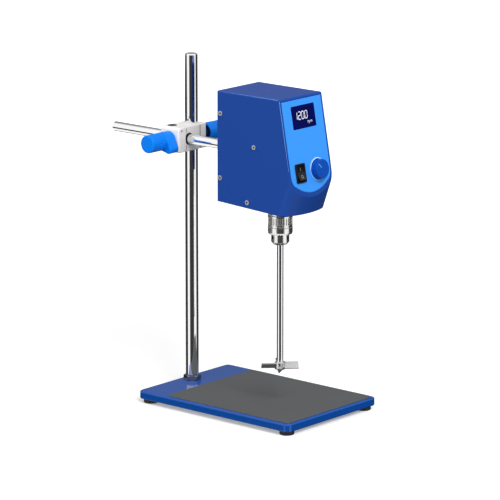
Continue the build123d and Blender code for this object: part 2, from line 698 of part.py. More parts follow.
# ---------------------------------------------------------------- rear cover and arm socket
COVER_TOP = HEAD_TOP - WALL - FIT
COVER_LOW = HEAD_LOW + WALL + 0.1
INLET_X = 19.0
INLET_Z = COVER_LOW + 11.0
with BuildPart() as rear_cover:
    with Locations((ARM_X, HEAD_Y, (COVER_TOP + COVER_LOW) / 2)):
        Box(
            2 * INNER,
            COVER_T,
            COVER_TOP - COVER_LOW,
            align=(Align.CENTER, Align.MAX, Align.CENTER),
        )
    rim_x = INNER - 1.25
    with Locations((ARM_X - rim_x, HEAD_Y, 0), (ARM_X + rim_x, HEAD_Y, 0)):
        with Locations((0, 0, (COVER_TOP + COVER_LOW) / 2)):
            Box(
                2.5,
                COVER_RIM,
                COVER_TOP - COVER_LOW - 8.0,
                align=(Align.CENTER, Align.MAX, Align.CENTER),
            )
    with Locations(Location((ARM_X, HEAD_Y + 1, ARM_Z), (90, 0, 0))):
        Cylinder(ARM_D / 2 + 0.6, COVER_T + 2, align=LOW, mode=Mode.SUBTRACT)
        with PolarLocations(14.0, 4, start_angle=45):
            Cylinder(M3 / 2 + FIT, COVER_T + 2, align=LOW, mode=Mode.SUBTRACT)
    with Locations(
        Location((ARM_X - INLET_X, HEAD_Y + 1, INLET_Z), (90, 0, 0)),
        Location((ARM_X + INLET_X, HEAD_Y + 1, INLET_Z), (90, 0, 0)),
    ):
        Cylinder(5.5, COVER_T + 2, align=LOW, mode=Mode.SUBTRACT)
    with BuildSketch(Plane.XZ.offset(-HEAD_Y - 1)):
        with Locations((ARM_X, ARM_Z + 46)):
            with GridLocations(27.0, 6.5, 2, 6):
                SlotOverall(22.0, 2.8)
    extrude(amount=COVER_T + 2, mode=Mode.SUBTRACT)
    with Locations([(ARM_X, HEAD_Y + y, ARM_Z + z) for y, z in SIDE_SCREWS[:2]]):
        Cylinder(M3 / 2 + FIT, 2 * INNER + 2, rotation=(0, 90, 0), mode=Mode.SUBTRACT)
rear_cover.part.label = "rear_cover"
export_step(rear_cover.part, "parts/rear_cover.step")

with BuildPart() as arm_socket:
    with Locations(Location((ARM_X, HEAD_Y - COVER_T, ARM_Z), (90, 0, 0))):
        Cylinder(18.0, 4.0, align=LOW)
        Cylinder(11.0, SOCKET_L + 1.0, align=LOW)
        Cylinder(ARM_D / 2 + FIT, SOCKET_L - COVER_T + 0.3, align=LOW, mode=Mode.SUBTRACT)
        with PolarLocations(14.0, 4, start_angle=45):
            Cylinder(M3 / 2, 4.0, align=LOW, mode=Mode.SUBTRACT)
    with Locations(Location((ARM_X, GROOVE_Y, ARM_Z), (0, 90, 0))):
        Cylinder(2.0, 30.0, mode=Mode.SUBTRACT)
arm_socket.part.label = "arm_socket"
export_step(arm_socket.part, "parts/arm_socket.step")

with BuildPart() as arm_grub_screws:
    for turn in (90, -90):
        with Locations(Location((ARM_X, GROOVE_Y, ARM_Z), (0, turn, 0))):
            with Locations((0, 0, ARM_D / 2 + 0.15)):
                Cylinder(1.98, 4.7, align=LOW)
            with Locations((0, 0, ARM_D / 2 - 0.9)):
                Cylinder(1.2, 2.0, align=LOW)
arm_grub_screws.part.label = "arm_grub_screws"
export_step(arm_grub_screws.part, "parts/arm_grub_screws.step")

with BuildPart() as power_inlet:
    with Locations(Location((ARM_X + INLET_X, HEAD_Y, INLET_Z), (90, 0, 0))):
        Cylinder(7.0, 1.6, align=HIGH)
        Cylinder(5.4, 16.0, align=LOW)
    with Locations(Location((ARM_X + INLET_X, HEAD_Y + 1.6, INLET_Z), (90, 0, 0))):
        Cylinder(3.0, 10.0, align=LOW, mode=Mode.SUBTRACT)
        Cylinder(1.0, 10.5, align=LOW)
power_inlet.part.label = "power_inlet"
export_step(power_inlet.part, "parts/power_inlet.step")

with BuildPart() as fuse_holder:
    with Locations(Location((ARM_X - INLET_X, HEAD_Y, INLET_Z), (90, 0, 0))):
        Cylinder(7.0, 4.0, align=HIGH)
        Cylinder(5.4, 22.0, align=LOW)
    fillet(fuse_holder.faces().sort_by(Axis.Y)[-1].edges(), radius=0.8)
    with Locations((ARM_X - INLET_X, HEAD_Y + 4.0, INLET_Z)):
        Box(8.0, 2.4, 1.4, mode=Mode.SUBTRACT)
fuse_holder.part.label = "fuse_holder"
export_step(fuse_holder.part, "parts/fuse_holder.step")

with BuildPart() as rating_plate:
    with BuildSketch(Plane.XZ.offset(-HEAD_Y - 0.4)):
        with Locations((ARM_X, ARM_Z - 29.0)):
            RectangleRounded(34.0, 14.0, 1.5)
    extrude(amount=0.4)
rating_plate.part.label = "rating_plate"
export_step(rating_plate.part, "parts/rating_plate.step")

with BuildPart() as housing_screws:
    for sign in (-1, 1):
        face = Plane(
            origin=(ARM_X + sign * HEAD_W / 2, HEAD_Y, ARM_Z),
            x_dir=(0, 1, 0),
            z_dir=(sign, 0, 0),
        )
        spots = [(y, z * sign) for y, z in SIDE_SCREWS]
        with BuildSketch(face):
            with Locations(spots):
                Circle(M3_HEAD / 2)
        extrude(amount=M3_TALL)
        with BuildSketch(face):
            with Locations(spots):
                Circle(M3 / 2)
        extrude(amount=-WALL - 4.5)
        with BuildSketch(face.offset(M3_TALL)):
            with Locations(spots):
                RegularPolygon(1.3, 6, major_radius=False)
        extrude(amount=-1.1, mode=Mode.SUBTRACT)
    with Locations(Location((ARM_X, HEAD_Y, ARM_Z), (90, 0, 0))):
        with PolarLocations(14.0, 4, start_angle=45):
            Cylinder(M3_HEAD / 2, M3_TALL, align=HIGH)
            Cylinder(M3 / 2, COVER_T + 4.0, align=LOW)
    with BuildSketch(Plane.XZ.offset(-HEAD_Y - M3_TALL)):
        with Locations((ARM_X, ARM_Z)):
            with PolarLocations(14.0, 4, start_angle=45):
                RegularPolygon(1.3, 6, major_radius=False)
    extrude(amount=1.1, mode=Mode.SUBTRACT)
housing_screws.part.label = "housing_screws"
export_step(housing_screws.part, "parts/housing_screws.step")

# ---------------------------------------------------------------- chassis and motor
LOW_SCREW = SIDE_SCREWS[3]
MID_SCREW = SIDE_SCREWS[2]
with BuildPart() as chassis_deck:
    with Locations((ARM_X, SPINDLE_Y + 5.0, DECK_Z)):
        Box(2 * INNER, DECK_L, DECK_T, align=LOW)
    for sign in (-1, 1):
        with Locations((ARM_X + sign * (INNER - 1.5), HEAD_Y + LOW_SCREW[0], DECK_Z)):
            Box(3.0, 22.0, 10.0, align=HIGH)
    with Locations((ARM_X, HEAD_Y + LOW_SCREW[0], ARM_Z + LOW_SCREW[1])):
        Cylinder(M3 / 2 + FIT, 2 * INNER + 2, rotation=(0, 90, 0), mode=Mode.SUBTRACT)
    with Locations((ARM_X, SPINDLE_Y, DECK_Z)):
        Cylinder(MOTOR_NOSE_D / 2 + FIT, DECK_T, align=LOW, mode=Mode.SUBTRACT)
        with PolarLocations(BOLT_R, 4):
            Cylinder(M3 / 2 + FIT, DECK_T, align=LOW, mode=Mode.SUBTRACT)
chassis_deck.part.label = "chassis_deck"
export_step(chassis_deck.part, "parts/chassis_deck.step")

with BuildPart() as motor_can:
    with Locations((ARM_X, SPINDLE_Y, CAN_Z)):
        Cylinder(MOTOR_D / 2, MOTOR_H, align=LOW)
        with Locations((0, 0, 5.0)):
            Cylinder(MOTOR_D / 2 - MOTOR_WALL, MOTOR_H - 5.0, align=LOW, mode=Mode.SUBTRACT)
    with Locations((ARM_X, SPINDLE_Y, NOSE_Z)):
        Cylinder(MOTOR_NOSE_D / 2, CAN_Z - NOSE_Z, align=LOW)
    with Locations((ARM_X, SPINDLE_Y, NOSE_Z)):
        Cylinder(10.0, CAN_Z - NOSE_Z + 5.0, align=LOW, mode=Mode.SUBTRACT)
        with Locations((0, 0, 2.5)):
            Cylinder(LOWER_OD / 2 + 0.02, CAN_Z - NOSE_Z + 5.0, align=LOW, mode=Mode.SUBTRACT)
    with Locations((ARM_X, SPINDLE_Y, CAN_Z)):
        with PolarLocations(BOLT_R, 4):
            Cylinder(M3 / 2, 4.0, align=LOW, mode=Mode.SUBTRACT)
    with Locations((ARM_X, SPINDLE_Y, CAN_TOP)):
        with PolarLocations(MOTOR_D / 2 - MOTOR_WALL / 2, 4, start_angle=45):
            Cylinder(M3 / 2, 12.0, align=HIGH, mode=Mode.SUBTRACT)
motor_can.part.label = "motor_can"
export_step(motor_can.part, "parts/motor_can.step")

with BuildPart() as motor_end_cap:
    with Locations((ARM_X, SPINDLE_Y, CAN_TOP)):
        Cylinder(MOTOR_D / 2, CAP_T, align=LOW)
        Cylinder(16.5, 4.5, align=HIGH)
    with Locations((ARM_X, SPINDLE_Y, BRACKET_Z)):
        Cylinder(7.0, 11.0, align=HIGH, mode=Mode.SUBTRACT)
        with Locations((0, 0, -1.5)):
            Cylinder(UPPER_OD / 2 + 0.02, 9.0, align=HIGH, mode=Mode.SUBTRACT)
        with PolarLocations(MOTOR_D / 2 - MOTOR_WALL / 2, 4, start_angle=45):
            Cylinder(M3 / 2 + FIT, CAP_T, align=HIGH, mode=Mode.SUBTRACT)
motor_end_cap.part.label = "motor_end_cap"
export_step(motor_end_cap.part, "parts/motor_end_cap.step")

with BuildPart() as motor_bracket:
    with Locations((ARM_X, SPINDLE_Y - MOTOR_D / 2 + 7.0, BRACKET_Z)):
        Box(
            2 * INNER,
            MOTOR_D / 2 + 30.0,
            BRACKET_T,
            align=(Align.CENTER, Align.MIN, Align.MIN),
        )
    for sign in (-1, 1):
        with Locations(
            (ARM_X + sign * (INNER - 1.5), HEAD_Y + MID_SCREW[0], BRACKET_Z + BRACKET_T)
        ):
            Box(3.0, 22.0, BRACKET_Z + BRACKET_T - ARM_Z - MID_SCREW[1] + 6.0, align=HIGH)
    with Locations((ARM_X, HEAD_Y + MID_SCREW[0], ARM_Z + MID_SCREW[1])):
        Cylinder(M3 / 2 + FIT, 2 * INNER + 2, rotation=(0, 90, 0), mode=Mode.SUBTRACT)
    with Locations((ARM_X, SPINDLE_Y, BRACKET_Z)):
        Cylinder(8.0, BRACKET_T, align=LOW, mode=Mode.SUBTRACT)
        with PolarLocations(MOTOR_D / 2 - MOTOR_WALL / 2, 4, start_angle=45):
            Cylinder(M3 / 2 + FIT, BRACKET_T, align=LOW, mode=Mode.SUBTRACT)
motor_bracket.part.label = "motor_bracket"
export_step(motor_bracket.part, "parts/motor_bracket.step")

with BuildPart() as motor_screws:
    with Locations((ARM_X, SPINDLE_Y, BRACKET_Z + BRACKET_T)):
        with PolarLocations(MOTOR_D / 2 - MOTOR_WALL / 2, 4, start_angle=45):
            Cylinder(M3_HEAD / 2, 2.4, align=LOW)
            Cylinder(M3 / 2 - 0.02, BRACKET_T + CAP_T + 11.0, align=HIGH)
            with Locations((0, 0, 1.2)):
                Box(2.4, 2.4, 1.3, align=LOW, mode=Mode.SUBTRACT)
motor_screws.part.label = "motor_screws"
export_step(motor_screws.part, "parts/motor_screws.step")

with BuildPart() as deck_screws:
    with Locations((ARM_X, SPINDLE_Y, DECK_Z)):
        with PolarLocations(BOLT_R, 4):
            Cylinder(M3_HEAD / 2, 2.4, align=HIGH)
            Cylinder(M3 / 2 - 0.02, DECK_T + 3.8, align=LOW)
deck_screws.part.label = "deck_screws"
export_step(deck_screws.part, "parts/deck_screws.step")

STATOR_Z = CAN_Z + STATOR_UP
STATOR_R = MOTOR_D / 2 - MOTOR_WALL - 0.03
BORE_R = 7.02
RING_ROOM = STATOR_R - BORE_R - ROTOR_GAP - MAGNET_T - 0.02
STATOR_DEEP = RING_ROOM * STATOR_SHARE
STATOR_SCALE = STATOR_DEEP / 8.2
POLE_R = STATOR_R - STATOR_DEEP
ROTOR_R = POLE_R - ROTOR_GAP
CORE_R = ROTOR_R - MAGNET_T - 0.02
with BuildPart() as motor_stator:
    with BuildSketch(Plane.XY.offset(STATOR_Z)):
        with Locations(AXIS):
            Circle(STATOR_R)
            Circle(STATOR_R - 3.0 * STATOR_SCALE, mode=Mode.SUBTRACT)
            with PolarLocations(STATOR_R - 4.6 * STATOR_SCALE, 6):
                Rectangle(4.4 * STATOR_SCALE, 4.4 * STATOR_SCALE)
            with PolarLocations(STATOR_R - 7.4 * STATOR_SCALE, 6):
                Rectangle(1.6 * STATOR_SCALE, 9.4 * STATOR_SCALE)
    extrude(amount=STATOR_H)
motor_stator.part.label = "motor_stator"
export_step(motor_stator.part, "parts/motor_stator.step")

with BuildPart() as motor_coils:
    with Locations((ARM_X, SPINDLE_Y, STATOR_Z + STATOR_H / 2)):
        with PolarLocations(STATOR_R - 5.1 * STATOR_SCALE, 6):
            Box(2.6 * STATOR_SCALE, 9.0 * STATOR_SCALE, STATOR_H + 5.0)
            Box(2.6 * STATOR_SCALE, 4.6 * STATOR_SCALE, STATOR_H + 0.1, mode=Mode.SUBTRACT)
motor_coils.part.label = "motor_coils"
export_step(motor_coils.part, "parts/motor_coils.step")

LOWER_Z = NOSE_Z + 2.5
UPPER_Z = BRACKET_Z - 1.5 - BEARING_W
with BuildPart() as bearing_outer_rings:
    with Locations((ARM_X, SPINDLE_Y, LOWER_Z)):
        Cylinder(LOWER_OD / 2, BEARING_W, align=LOW)
        Cylinder(LOWER_OD / 2 - 3.0, BEARING_W, align=LOW, mode=Mode.SUBTRACT)
    with Locations((ARM_X, SPINDLE_Y, UPPER_Z)):
        Cylinder(UPPER_OD / 2, BEARING_W, align=LOW)
        Cylinder(UPPER_OD / 2 - 3.0, BEARING_W, align=LOW, mode=Mode.SUBTRACT)
    for z, big, small in ((LOWER_Z, LOWER_OD, LOWER_ID), (UPPER_Z, UPPER_OD, UPPER_ID)):
        with Locations((ARM_X, SPINDLE_Y, z + 0.4), (ARM_X, SPINDLE_Y, z + BEARING_W - 0.9)):
            Cylinder(big / 2 - 2.9, 0.5, align=LOW)
            Cylinder(small / 2 + 2.66, 0.5, align=LOW, mode=Mode.SUBTRACT)
bearing_outer_rings.part.label = "bearing_outer_rings"
export_step(bearing_outer_rings.part, "parts/bearing_outer_rings.step")

with BuildPart() as bearing_inner_rings:
    for z, small in ((LOWER_Z, LOWER_ID), (UPPER_Z, UPPER_ID)):
        with Locations((ARM_X, SPINDLE_Y, z)):
            Cylinder(small / 2 + 2.6, BEARING_W, align=LOW)
            Cylinder(small / 2 + 0.02, BEARING_W, align=LOW, mode=Mode.SUBTRACT)
bearing_inner_rings.part.label = "bearing_inner_rings"
export_step(bearing_inner_rings.part, "parts/bearing_inner_rings.step")

CHUCK_TOP = SLEEVE_Z + SLEEVE_H + 2.6
THREAD_Z = CHUCK_TOP - 14.0
DISC_Z = BRACKET_Z + BRACKET_T + 2.5
with BuildPart() as spindle:
    with BuildSketch(Plane.XZ) as profile:
        with BuildLine():
            Polyline(
                (0, THREAD_Z),
                (4.98, THREAD_Z),
                (4.98, CHUCK_TOP),
                (LOWER_ID / 2, CHUCK_TOP),
                (LOWER_ID / 2, LOWER_Z + BEARING_W),
                (7.0, LOWER_Z + BEARING_W),
                (7.0, UPPER_Z),
                (UPPER_ID / 2, UPPER_Z),
                (UPPER_ID / 2, DISC_Z + 3.0),
                (0, DISC_Z + 3.0),
                close=True,
            )
        make_face()
    revolve(axis=Axis.Z)
    spindle.part.locate(Location((ARM_X, SPINDLE_Y, 0)))
spindle.part.label = "spindle"
export_step(spindle.part, "parts/spindle.step")

with BuildPart() as rotor_core:
    with Locations((ARM_X, SPINDLE_Y, STATOR_Z)):
        Cylinder(CORE_R, STATOR_H, align=LOW)
        Cylinder(BORE_R, STATOR_H, align=LOW, mode=Mode.SUBTRACT)
rotor_core.part.label = "rotor_core"
export_step(rotor_core.part, "parts/rotor_core.step")

with BuildPart() as rotor_magnets:
    with Locations((ARM_X, SPINDLE_Y, STATOR_Z + 1)):
        Cylinder(ROTOR_R, STATOR_H - 2, align=LOW)
        Cylinder(CORE_R + 0.02, STATOR_H - 2, align=LOW, mode=Mode.SUBTRACT)
        Box(30, 1.0, STATOR_H, align=LOW, mode=Mode.SUBTRACT)
        Box(1.0, 30, STATOR_H, align=LOW, mode=Mode.SUBTRACT)
rotor_magnets.part.label = "rotor_magnets"
export_step(rotor_magnets.part, "parts/rotor_magnets.step")

with BuildPart() as speed_disc:
    with Locations((ARM_X, SPINDLE_Y, DISC_Z)):
        Cylinder(13.0, 1.2, align=LOW)
        Cylinder(UPPER_ID / 2 + 0.02, 1.2, align=LOW, mode=Mode.SUBTRACT)
        with PolarLocations(10.8, 12):
            Box(3.2, 1.6, 1.2, align=LOW, mode=Mode.SUBTRACT)
speed_disc.part.label = "speed_disc"
export_step(speed_disc.part, "parts/speed_disc.step")

with BuildPart() as speed_sensor:
    with Locations((ARM_X, SPINDLE_Y + 14.5, BRACKET_Z + BRACKET_T)):
        Box(8.0, 9.0, 8.0, align=LOW)
        with Locations((0, -3.0, 1.2)):
            Box(9.0, 7.0, 4.2, align=LOW, mode=Mode.SUBTRACT)
speed_sensor.part.label = "speed_sensor"
export_step(speed_sensor.part, "parts/speed_sensor.step")

POST_H = 14.0
POSTS = [(ARM_X + sx * 29.5, SPINDLE_Y + sy) for sx in (-1, 1) for sy in (-13.0, 31.0)]
BOARD_Z = BRACKET_Z + BRACKET_T + POST_H
with BuildPart() as board_posts:
    with BuildSketch(Plane.XY.offset(BRACKET_Z + BRACKET_T)):
        with Locations(POSTS):
            RegularPolygon(2.75, 6, major_radius=False)
    extrude(amount=POST_H)
    with BuildSketch(Plane.XY.offset(BOARD_Z)):
        with Locations(POSTS):
            Circle(1.25)
    extrude(amount=-6.0, mode=Mode.SUBTRACT)
board_posts.part.label = "board_posts"
export_step(board_posts.part, "parts/board_posts.step")

with BuildPart() as driver_board:
    with Locations((ARM_X, SPINDLE_Y + 9.0, BOARD_Z)):
        Box(BOARD_W, BOARD_L, 1.6, align=LOW)
        with Locations((BOARD_W / 2 - 15, BOARD_L / 2 - 14, 1.6)):
            Box(12, 14, 8.0, align=LOW)
        with Locations((4, -12, 1.6)):
            Box(10, 10, 1.2, align=LOW)
    with Locations([(x, y, BOARD_Z) for x, y in POSTS]):
        Cylinder(1.4, 1.6, align=LOW, mode=Mode.SUBTRACT)
driver_board.part.label = "driver_board"
export_step(driver_board.part, "parts/driver_board.step")

with BuildPart() as capacitors:
    with Locations(
        (ARM_X - 16, SPINDLE_Y + 18, BOARD_Z + 1.6), (ARM_X - 16, SPINDLE_Y + 4, BOARD_Z + 1.6)
    ):
        Cylinder(5.0, 14.0, align=LOW)
    fillet(capacitors.faces().group_by(Axis.Z)[-1].edges(), radius=0.8)
capacitors.part.label = "capacitors"
export_step(capacitors.part, "parts/capacitors.step")

with BuildPart() as board_screws:
    for up in BOARD_UPS:
        for x in (-BOARD_X, BOARD_X):
            with BuildSketch(panel_at(x, up, BOARD_OUT - 1.6)):
                Circle(2.5)
            extrude(amount=-1.7)
            with BuildSketch(panel_at(x, up, BOARD_OUT - 1.6)):
                Circle(1.22)
            extrude(amount=5.8)
    with Locations([(x, y, BOARD_Z + 1.6) for x, y in POSTS]):
        Cylinder(2.5, 1.7, align=LOW)
        Cylinder(1.22, 5.8, align=HIGH)
board_screws.part.label = "board_screws"
export_step(board_screws.part, "parts/board_screws.step")

# ---------------------------------------------------------------- three-jaw chuck
SLEEVE_TOP = SLEEVE_Z + SLEEVE_H
BODY_R = SLEEVE_D / 2 - 1.8
RING_Z = SLEEVE_Z + NUT_LOW
LEAN = math.tan(math.radians(JAW_LEAN))
JAW_TURN = 100.0


def jaw_radius(z):
    # distance of a jaw's centre line from the chuck's axis at this height
    return JAW_TIP + (z - NOSE_TIP) * LEAN


def jaw_plane(index, along):
    angle = math.radians(JAW_TURN + 120 * index)
    lean = math.radians(JAW_LEAN)
    out = (math.cos(angle), math.sin(angle))
    run = (out[0] * math.sin(lean), out[1] * math.sin(lean), math.cos(lean))
    start = Vector(AXIS[0] + out[0] * JAW_TIP, AXIS[1] + out[1] * JAW_TIP, NOSE_TIP)
    side = (out[0] * math.cos(lean), out[1] * math.cos(lean), -math.sin(lean))
    return Plane(origin=start + Vector(*run) * along, x_dir=side, z_dir=run)


with BuildPart() as chuck_body:
    with BuildSketch(Plane.XZ):
        with BuildLine():
            Polyline(
                (BORE_D / 2, NOSE_TIP),
                (NOSE_D / 2 - 3.0, NOSE_TIP),
                (NOSE_D / 2, NOSE_TIP + 3.4),
                (NOSE_D / 2, SLEEVE_Z + 0.6),
                (BODY_R, SLEEVE_Z + 0.6),
                (BODY_R, RING_Z - 0.1),
                (jaw_radius(RING_Z) + 1.05, RING_Z - 0.1),
                (jaw_radius(RING_Z) + 1.05, RING_Z + NUT_T + 0.1),
                (BODY_R, RING_Z + NUT_T + 0.1),
                (BODY_R, SLEEVE_TOP - 1.0),
                (BODY_R - 2.4, CHUCK_TOP),
                (5.0, CHUCK_TOP),
                (5.0, THREAD_Z),
                (BORE_D / 2, THREAD_Z),
                close=True,
            )
        make_face()
    revolve(axis=Axis.Z)
    chuck_body.part.locate(Location((ARM_X, SPINDLE_Y, 0)))
    for index in range(3):
        with BuildSketch(jaw_plane(index, -8)):
            Circle(JAW_D / 2 + 0.08)
        extrude(amount=8 + JAW_L + 4.6, mode=Mode.SUBTRACT)
    with Locations(Location((ARM_X, SPINDLE_Y, NOSE_TIP + 9.0), (0, 0, JAW_TURN + 60))):
        with PolarLocations(NOSE_D / 2 - 2.0, 3):
            Cylinder(2.3, 5.0, rotation=(0, 90, 0), mode=Mode.SUBTRACT)
chuck_body.part.label = "chuck_body"
export_step(chuck_body.part, "parts/chuck_body.step")

with BuildPart() as chuck_sleeve:
    with BuildSketch(Plane.XZ):
        with BuildLine():
            Polyline(
                (BODY_R + 0.1, SLEEVE_Z),
                (SLEEVE_D / 2 - 0.7, SLEEVE_Z),
                (SLEEVE_D / 2, SLEEVE_Z + 2.4),
                (SLEEVE_D / 2, SLEEVE_Z + 8.5),
                (SLEEVE_D / 2 - 0.4, SLEEVE_Z + 8.9),
                (SLEEVE_D / 2 - 0.4, SLEEVE_Z + 10.4),
                (SLEEVE_D / 2, SLEEVE_Z + 10.8),
                (SLEEVE_D / 2, SLEEVE_TOP - 5.4),
                (SLEEVE_D / 2 - 0.8, SLEEVE_TOP - 4.6),
                (SLEEVE_D / 2 - 0.8, SLEEVE_TOP),
                (BODY_R + 0.1, SLEEVE_TOP),
                close=True,
            )
        make_face()
    revolve(axis=Axis.Z)
    chuck_sleeve.part.locate(Location((ARM_X, SPINDLE_Y, 0)))
    with Locations((ARM_X, SPINDLE_Y, SLEEVE_Z)):
        with PolarLocations(SLEEVE_D / 2, 30):
            Box(4.2, 1.5, 2.2, mode=Mode.SUBTRACT)
    with Locations((ARM_X, SPINDLE_Y, SLEEVE_Z + 12.2)):
        with PolarLocations(SLEEVE_D / 2 + 0.15, 36):
            Box(1.1, 0.9, 8.6, align=LOW, rotation=(0, 0, 45), mode=Mode.SUBTRACT)
chuck_sleeve.part.label = "chuck_sleeve"
export_step(chuck_sleeve.part, "parts/chuck_sleeve.step")

with BuildPart() as chuck_ring_nut:
    with BuildSketch(Plane.XZ):
        with BuildLine():
            Polyline(
                (jaw_radius(RING_Z) + 1.2, RING_Z),
                (BODY_R + 0.08, RING_Z),
                (BODY_R + 0.08, RING_Z + NUT_T),
                (jaw_radius(RING_Z + NUT_T) + 1.2, RING_Z + NUT_T),
                close=True,
            )
        make_face()
    revolve(axis=Axis.Z)
    chuck_ring_nut.part.locate(Location((ARM_X, SPINDLE_Y, 0)))
chuck_ring_nut.part.label = "chuck_ring_nut"
export_step(chuck_ring_nut.part, "parts/chuck_ring_nut.step")


def make_jaw(index):
    with BuildPart() as jaw:
        with BuildSketch(jaw_plane(index, 0)):
            Circle(JAW_D / 2)
        extrude(amount=JAW_L)
        # level tip, grip face bored to the shaft, flank relieved where the ring nut bears
        with Locations((ARM_X, SPINDLE_Y, NOSE_TIP)):
            Cylinder(20, 10, align=HIGH, mode=Mode.SUBTRACT)
            Cylinder(SHAFT_D / 2 + FIT, 40, align=LOW, mode=Mode.SUBTRACT)
        with BuildSketch(jaw_plane(index, 16.5)):
            with Locations((0.6 + 3.0, 0)):
                Rectangle(6.0, 8.0)
        extrude(amount=JAW_L, mode=Mode.SUBTRACT)
    return jaw.part


with BuildPart() as chuck_jaw_a:
    add(make_jaw(0))
chuck_jaw_a.part.label = "chuck_jaw_a"
export_step(chuck_jaw_a.part, "parts/chuck_jaw_a.step")

with BuildPart() as chuck_jaw_b:
    add(make_jaw(1))
chuck_jaw_b.part.label = "chuck_jaw_b"
export_step(chuck_jaw_b.part, "parts/chuck_jaw_b.step")

with BuildPart() as chuck_jaw_c:
    add(make_jaw(2))
chuck_jaw_c.part.label = "chuck_jaw_c"
export_step(chuck_jaw_c.part, "parts/chuck_jaw_c.step")

# ---------------------------------------------------------------- stirring shaft
SHAFT_TOP = THREAD_Z - 5.0
with BuildPart() as stirring_shaft:
    with Locations((ARM_X, SPINDLE_Y, SHAFT_Z)):
        Cylinder(SHAFT_D / 2, SHAFT_TOP - SHAFT_Z, align=LOW)
    chamfer(stirring_shaft.faces().filter_by(Axis.Z).edges(), length=0.6)
stirring_shaft.part.label = "stirring_shaft"
export_step(stirring_shaft.part, "parts/stirring_shaft.step")

with BuildPart() as impeller:
    with Locations((ARM_X, SPINDLE_Y, SHAFT_Z)):
        Cylinder(HUB_D / 2, HUB_H, align=LOW)
    chamfer(impeller.faces().filter_by(Axis.Z).edges(), length=0.6)
    for index in range(4):
        turn = 45 + 90 * index
        angle = math.radians(turn)
        with Locations(
            Location((ARM_X, SPINDLE_Y, SHAFT_Z + HUB_H / 2), (0, 0, turn)),
        ):
            with Locations(Location((HUB_D / 2 - 1.0, 0, 0), (BLADE_ANGLE, 0, 0))):
                Box(
                    IMPELLER_D / 2 - HUB_D / 2 + 1.0,
                    BLADE_W,
                    BLADE_T,
                    align=(Align.MIN, Align.CENTER, Align.CENTER),
                )
    with Locations((ARM_X, SPINDLE_Y, SHAFT_Z)):
        Cylinder(SHAFT_D / 2 + 0.02, HUB_H, align=LOW, mode=Mode.SUBTRACT)
    with Locations(Location((ARM_X, SPINDLE_Y, SHAFT_Z + HUB_H / 2), (0, 90, 0))):
        Cylinder(1.5, HUB_D, align=LOW, mode=Mode.SUBTRACT)
impeller.part.label = "impeller"
export_step(impeller.part, "parts/impeller.step")

with BuildPart() as impeller_grub_screw:
    with Locations(Location((ARM_X + SHAFT_D / 2 + 0.05, SPINDLE_Y, SHAFT_Z + HUB_H / 2), (0, 90, 0))):
        Cylinder(1.48, HUB_D / 2 - SHAFT_D / 2 - 0.3, align=LOW)
impeller_grub_screw.part.label = "impeller_grub_screw"
export_step(impeller_grub_screw.part, "parts/impeller_grub_screw.step")
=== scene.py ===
import json
import math

import bpy
from mathutils import Matrix, Vector

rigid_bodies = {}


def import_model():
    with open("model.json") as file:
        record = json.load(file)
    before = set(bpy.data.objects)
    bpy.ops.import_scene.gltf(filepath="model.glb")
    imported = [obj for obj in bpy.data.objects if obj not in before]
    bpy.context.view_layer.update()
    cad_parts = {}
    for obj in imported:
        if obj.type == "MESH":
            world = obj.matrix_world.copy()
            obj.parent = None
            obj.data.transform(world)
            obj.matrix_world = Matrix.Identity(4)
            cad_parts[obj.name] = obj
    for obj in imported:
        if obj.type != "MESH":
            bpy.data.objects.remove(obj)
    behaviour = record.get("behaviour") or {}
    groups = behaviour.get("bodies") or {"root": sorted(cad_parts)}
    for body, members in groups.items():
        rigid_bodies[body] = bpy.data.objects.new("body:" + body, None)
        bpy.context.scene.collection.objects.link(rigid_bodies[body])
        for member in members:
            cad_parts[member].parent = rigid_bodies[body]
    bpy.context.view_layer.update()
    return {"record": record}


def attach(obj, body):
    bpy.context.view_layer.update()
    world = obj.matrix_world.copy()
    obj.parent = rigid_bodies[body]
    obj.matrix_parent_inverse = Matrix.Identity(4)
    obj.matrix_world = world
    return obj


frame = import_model()
MM = 0.001

# ---------------------------------------------------------------- camera
AZIMUTH, ELEVATION, DISTANCE = -49.2, 13.1, 4.5
TARGET = Vector((-0.0089, -0.0435, 0.1971))
FOCAL_PX, PHOTO_PX, SENSOR = 3707.3, 500.0, 36.0
az, el = math.radians(AZIMUTH), math.radians(ELEVATION)
back = Vector((math.sin(az) * math.cos(el), -math.cos(az) * math.cos(el), math.sin(el)))
camera = bpy.data.objects.new("camera", bpy.data.cameras.new("camera"))
bpy.context.scene.collection.objects.link(camera)
camera.location = TARGET + back * DISTANCE
camera.rotation_euler = back.to_track_quat("Z", "Y").to_euler()
camera.data.sensor_width = SENSOR
camera.data.lens = FOCAL_PX * SENSOR / PHOTO_PX
camera.data.clip_end = 50.0
bpy.context.scene.camera = camera
bpy.context.scene.view_settings.view_transform = "Standard"


# ---------------------------------------------------------------- node helpers
LEAST_ROUGH, BEVEL_SAMPLES = 0.02, 6


def tree(material):
    """An empty node tree for a material."""
    material.use_nodes = True
    nodes = material.node_tree.nodes
    nodes.clear()
    return nodes, material.node_tree.links


def node(nodes, kind, **values):
    """A new node with its sockets or settings filled in by name."""
    item = nodes.new(kind)
    for key, value in values.items():
        if key in item.inputs:
            item.inputs[key].default_value = value
        else:
            setattr(item, key, value)
    return item


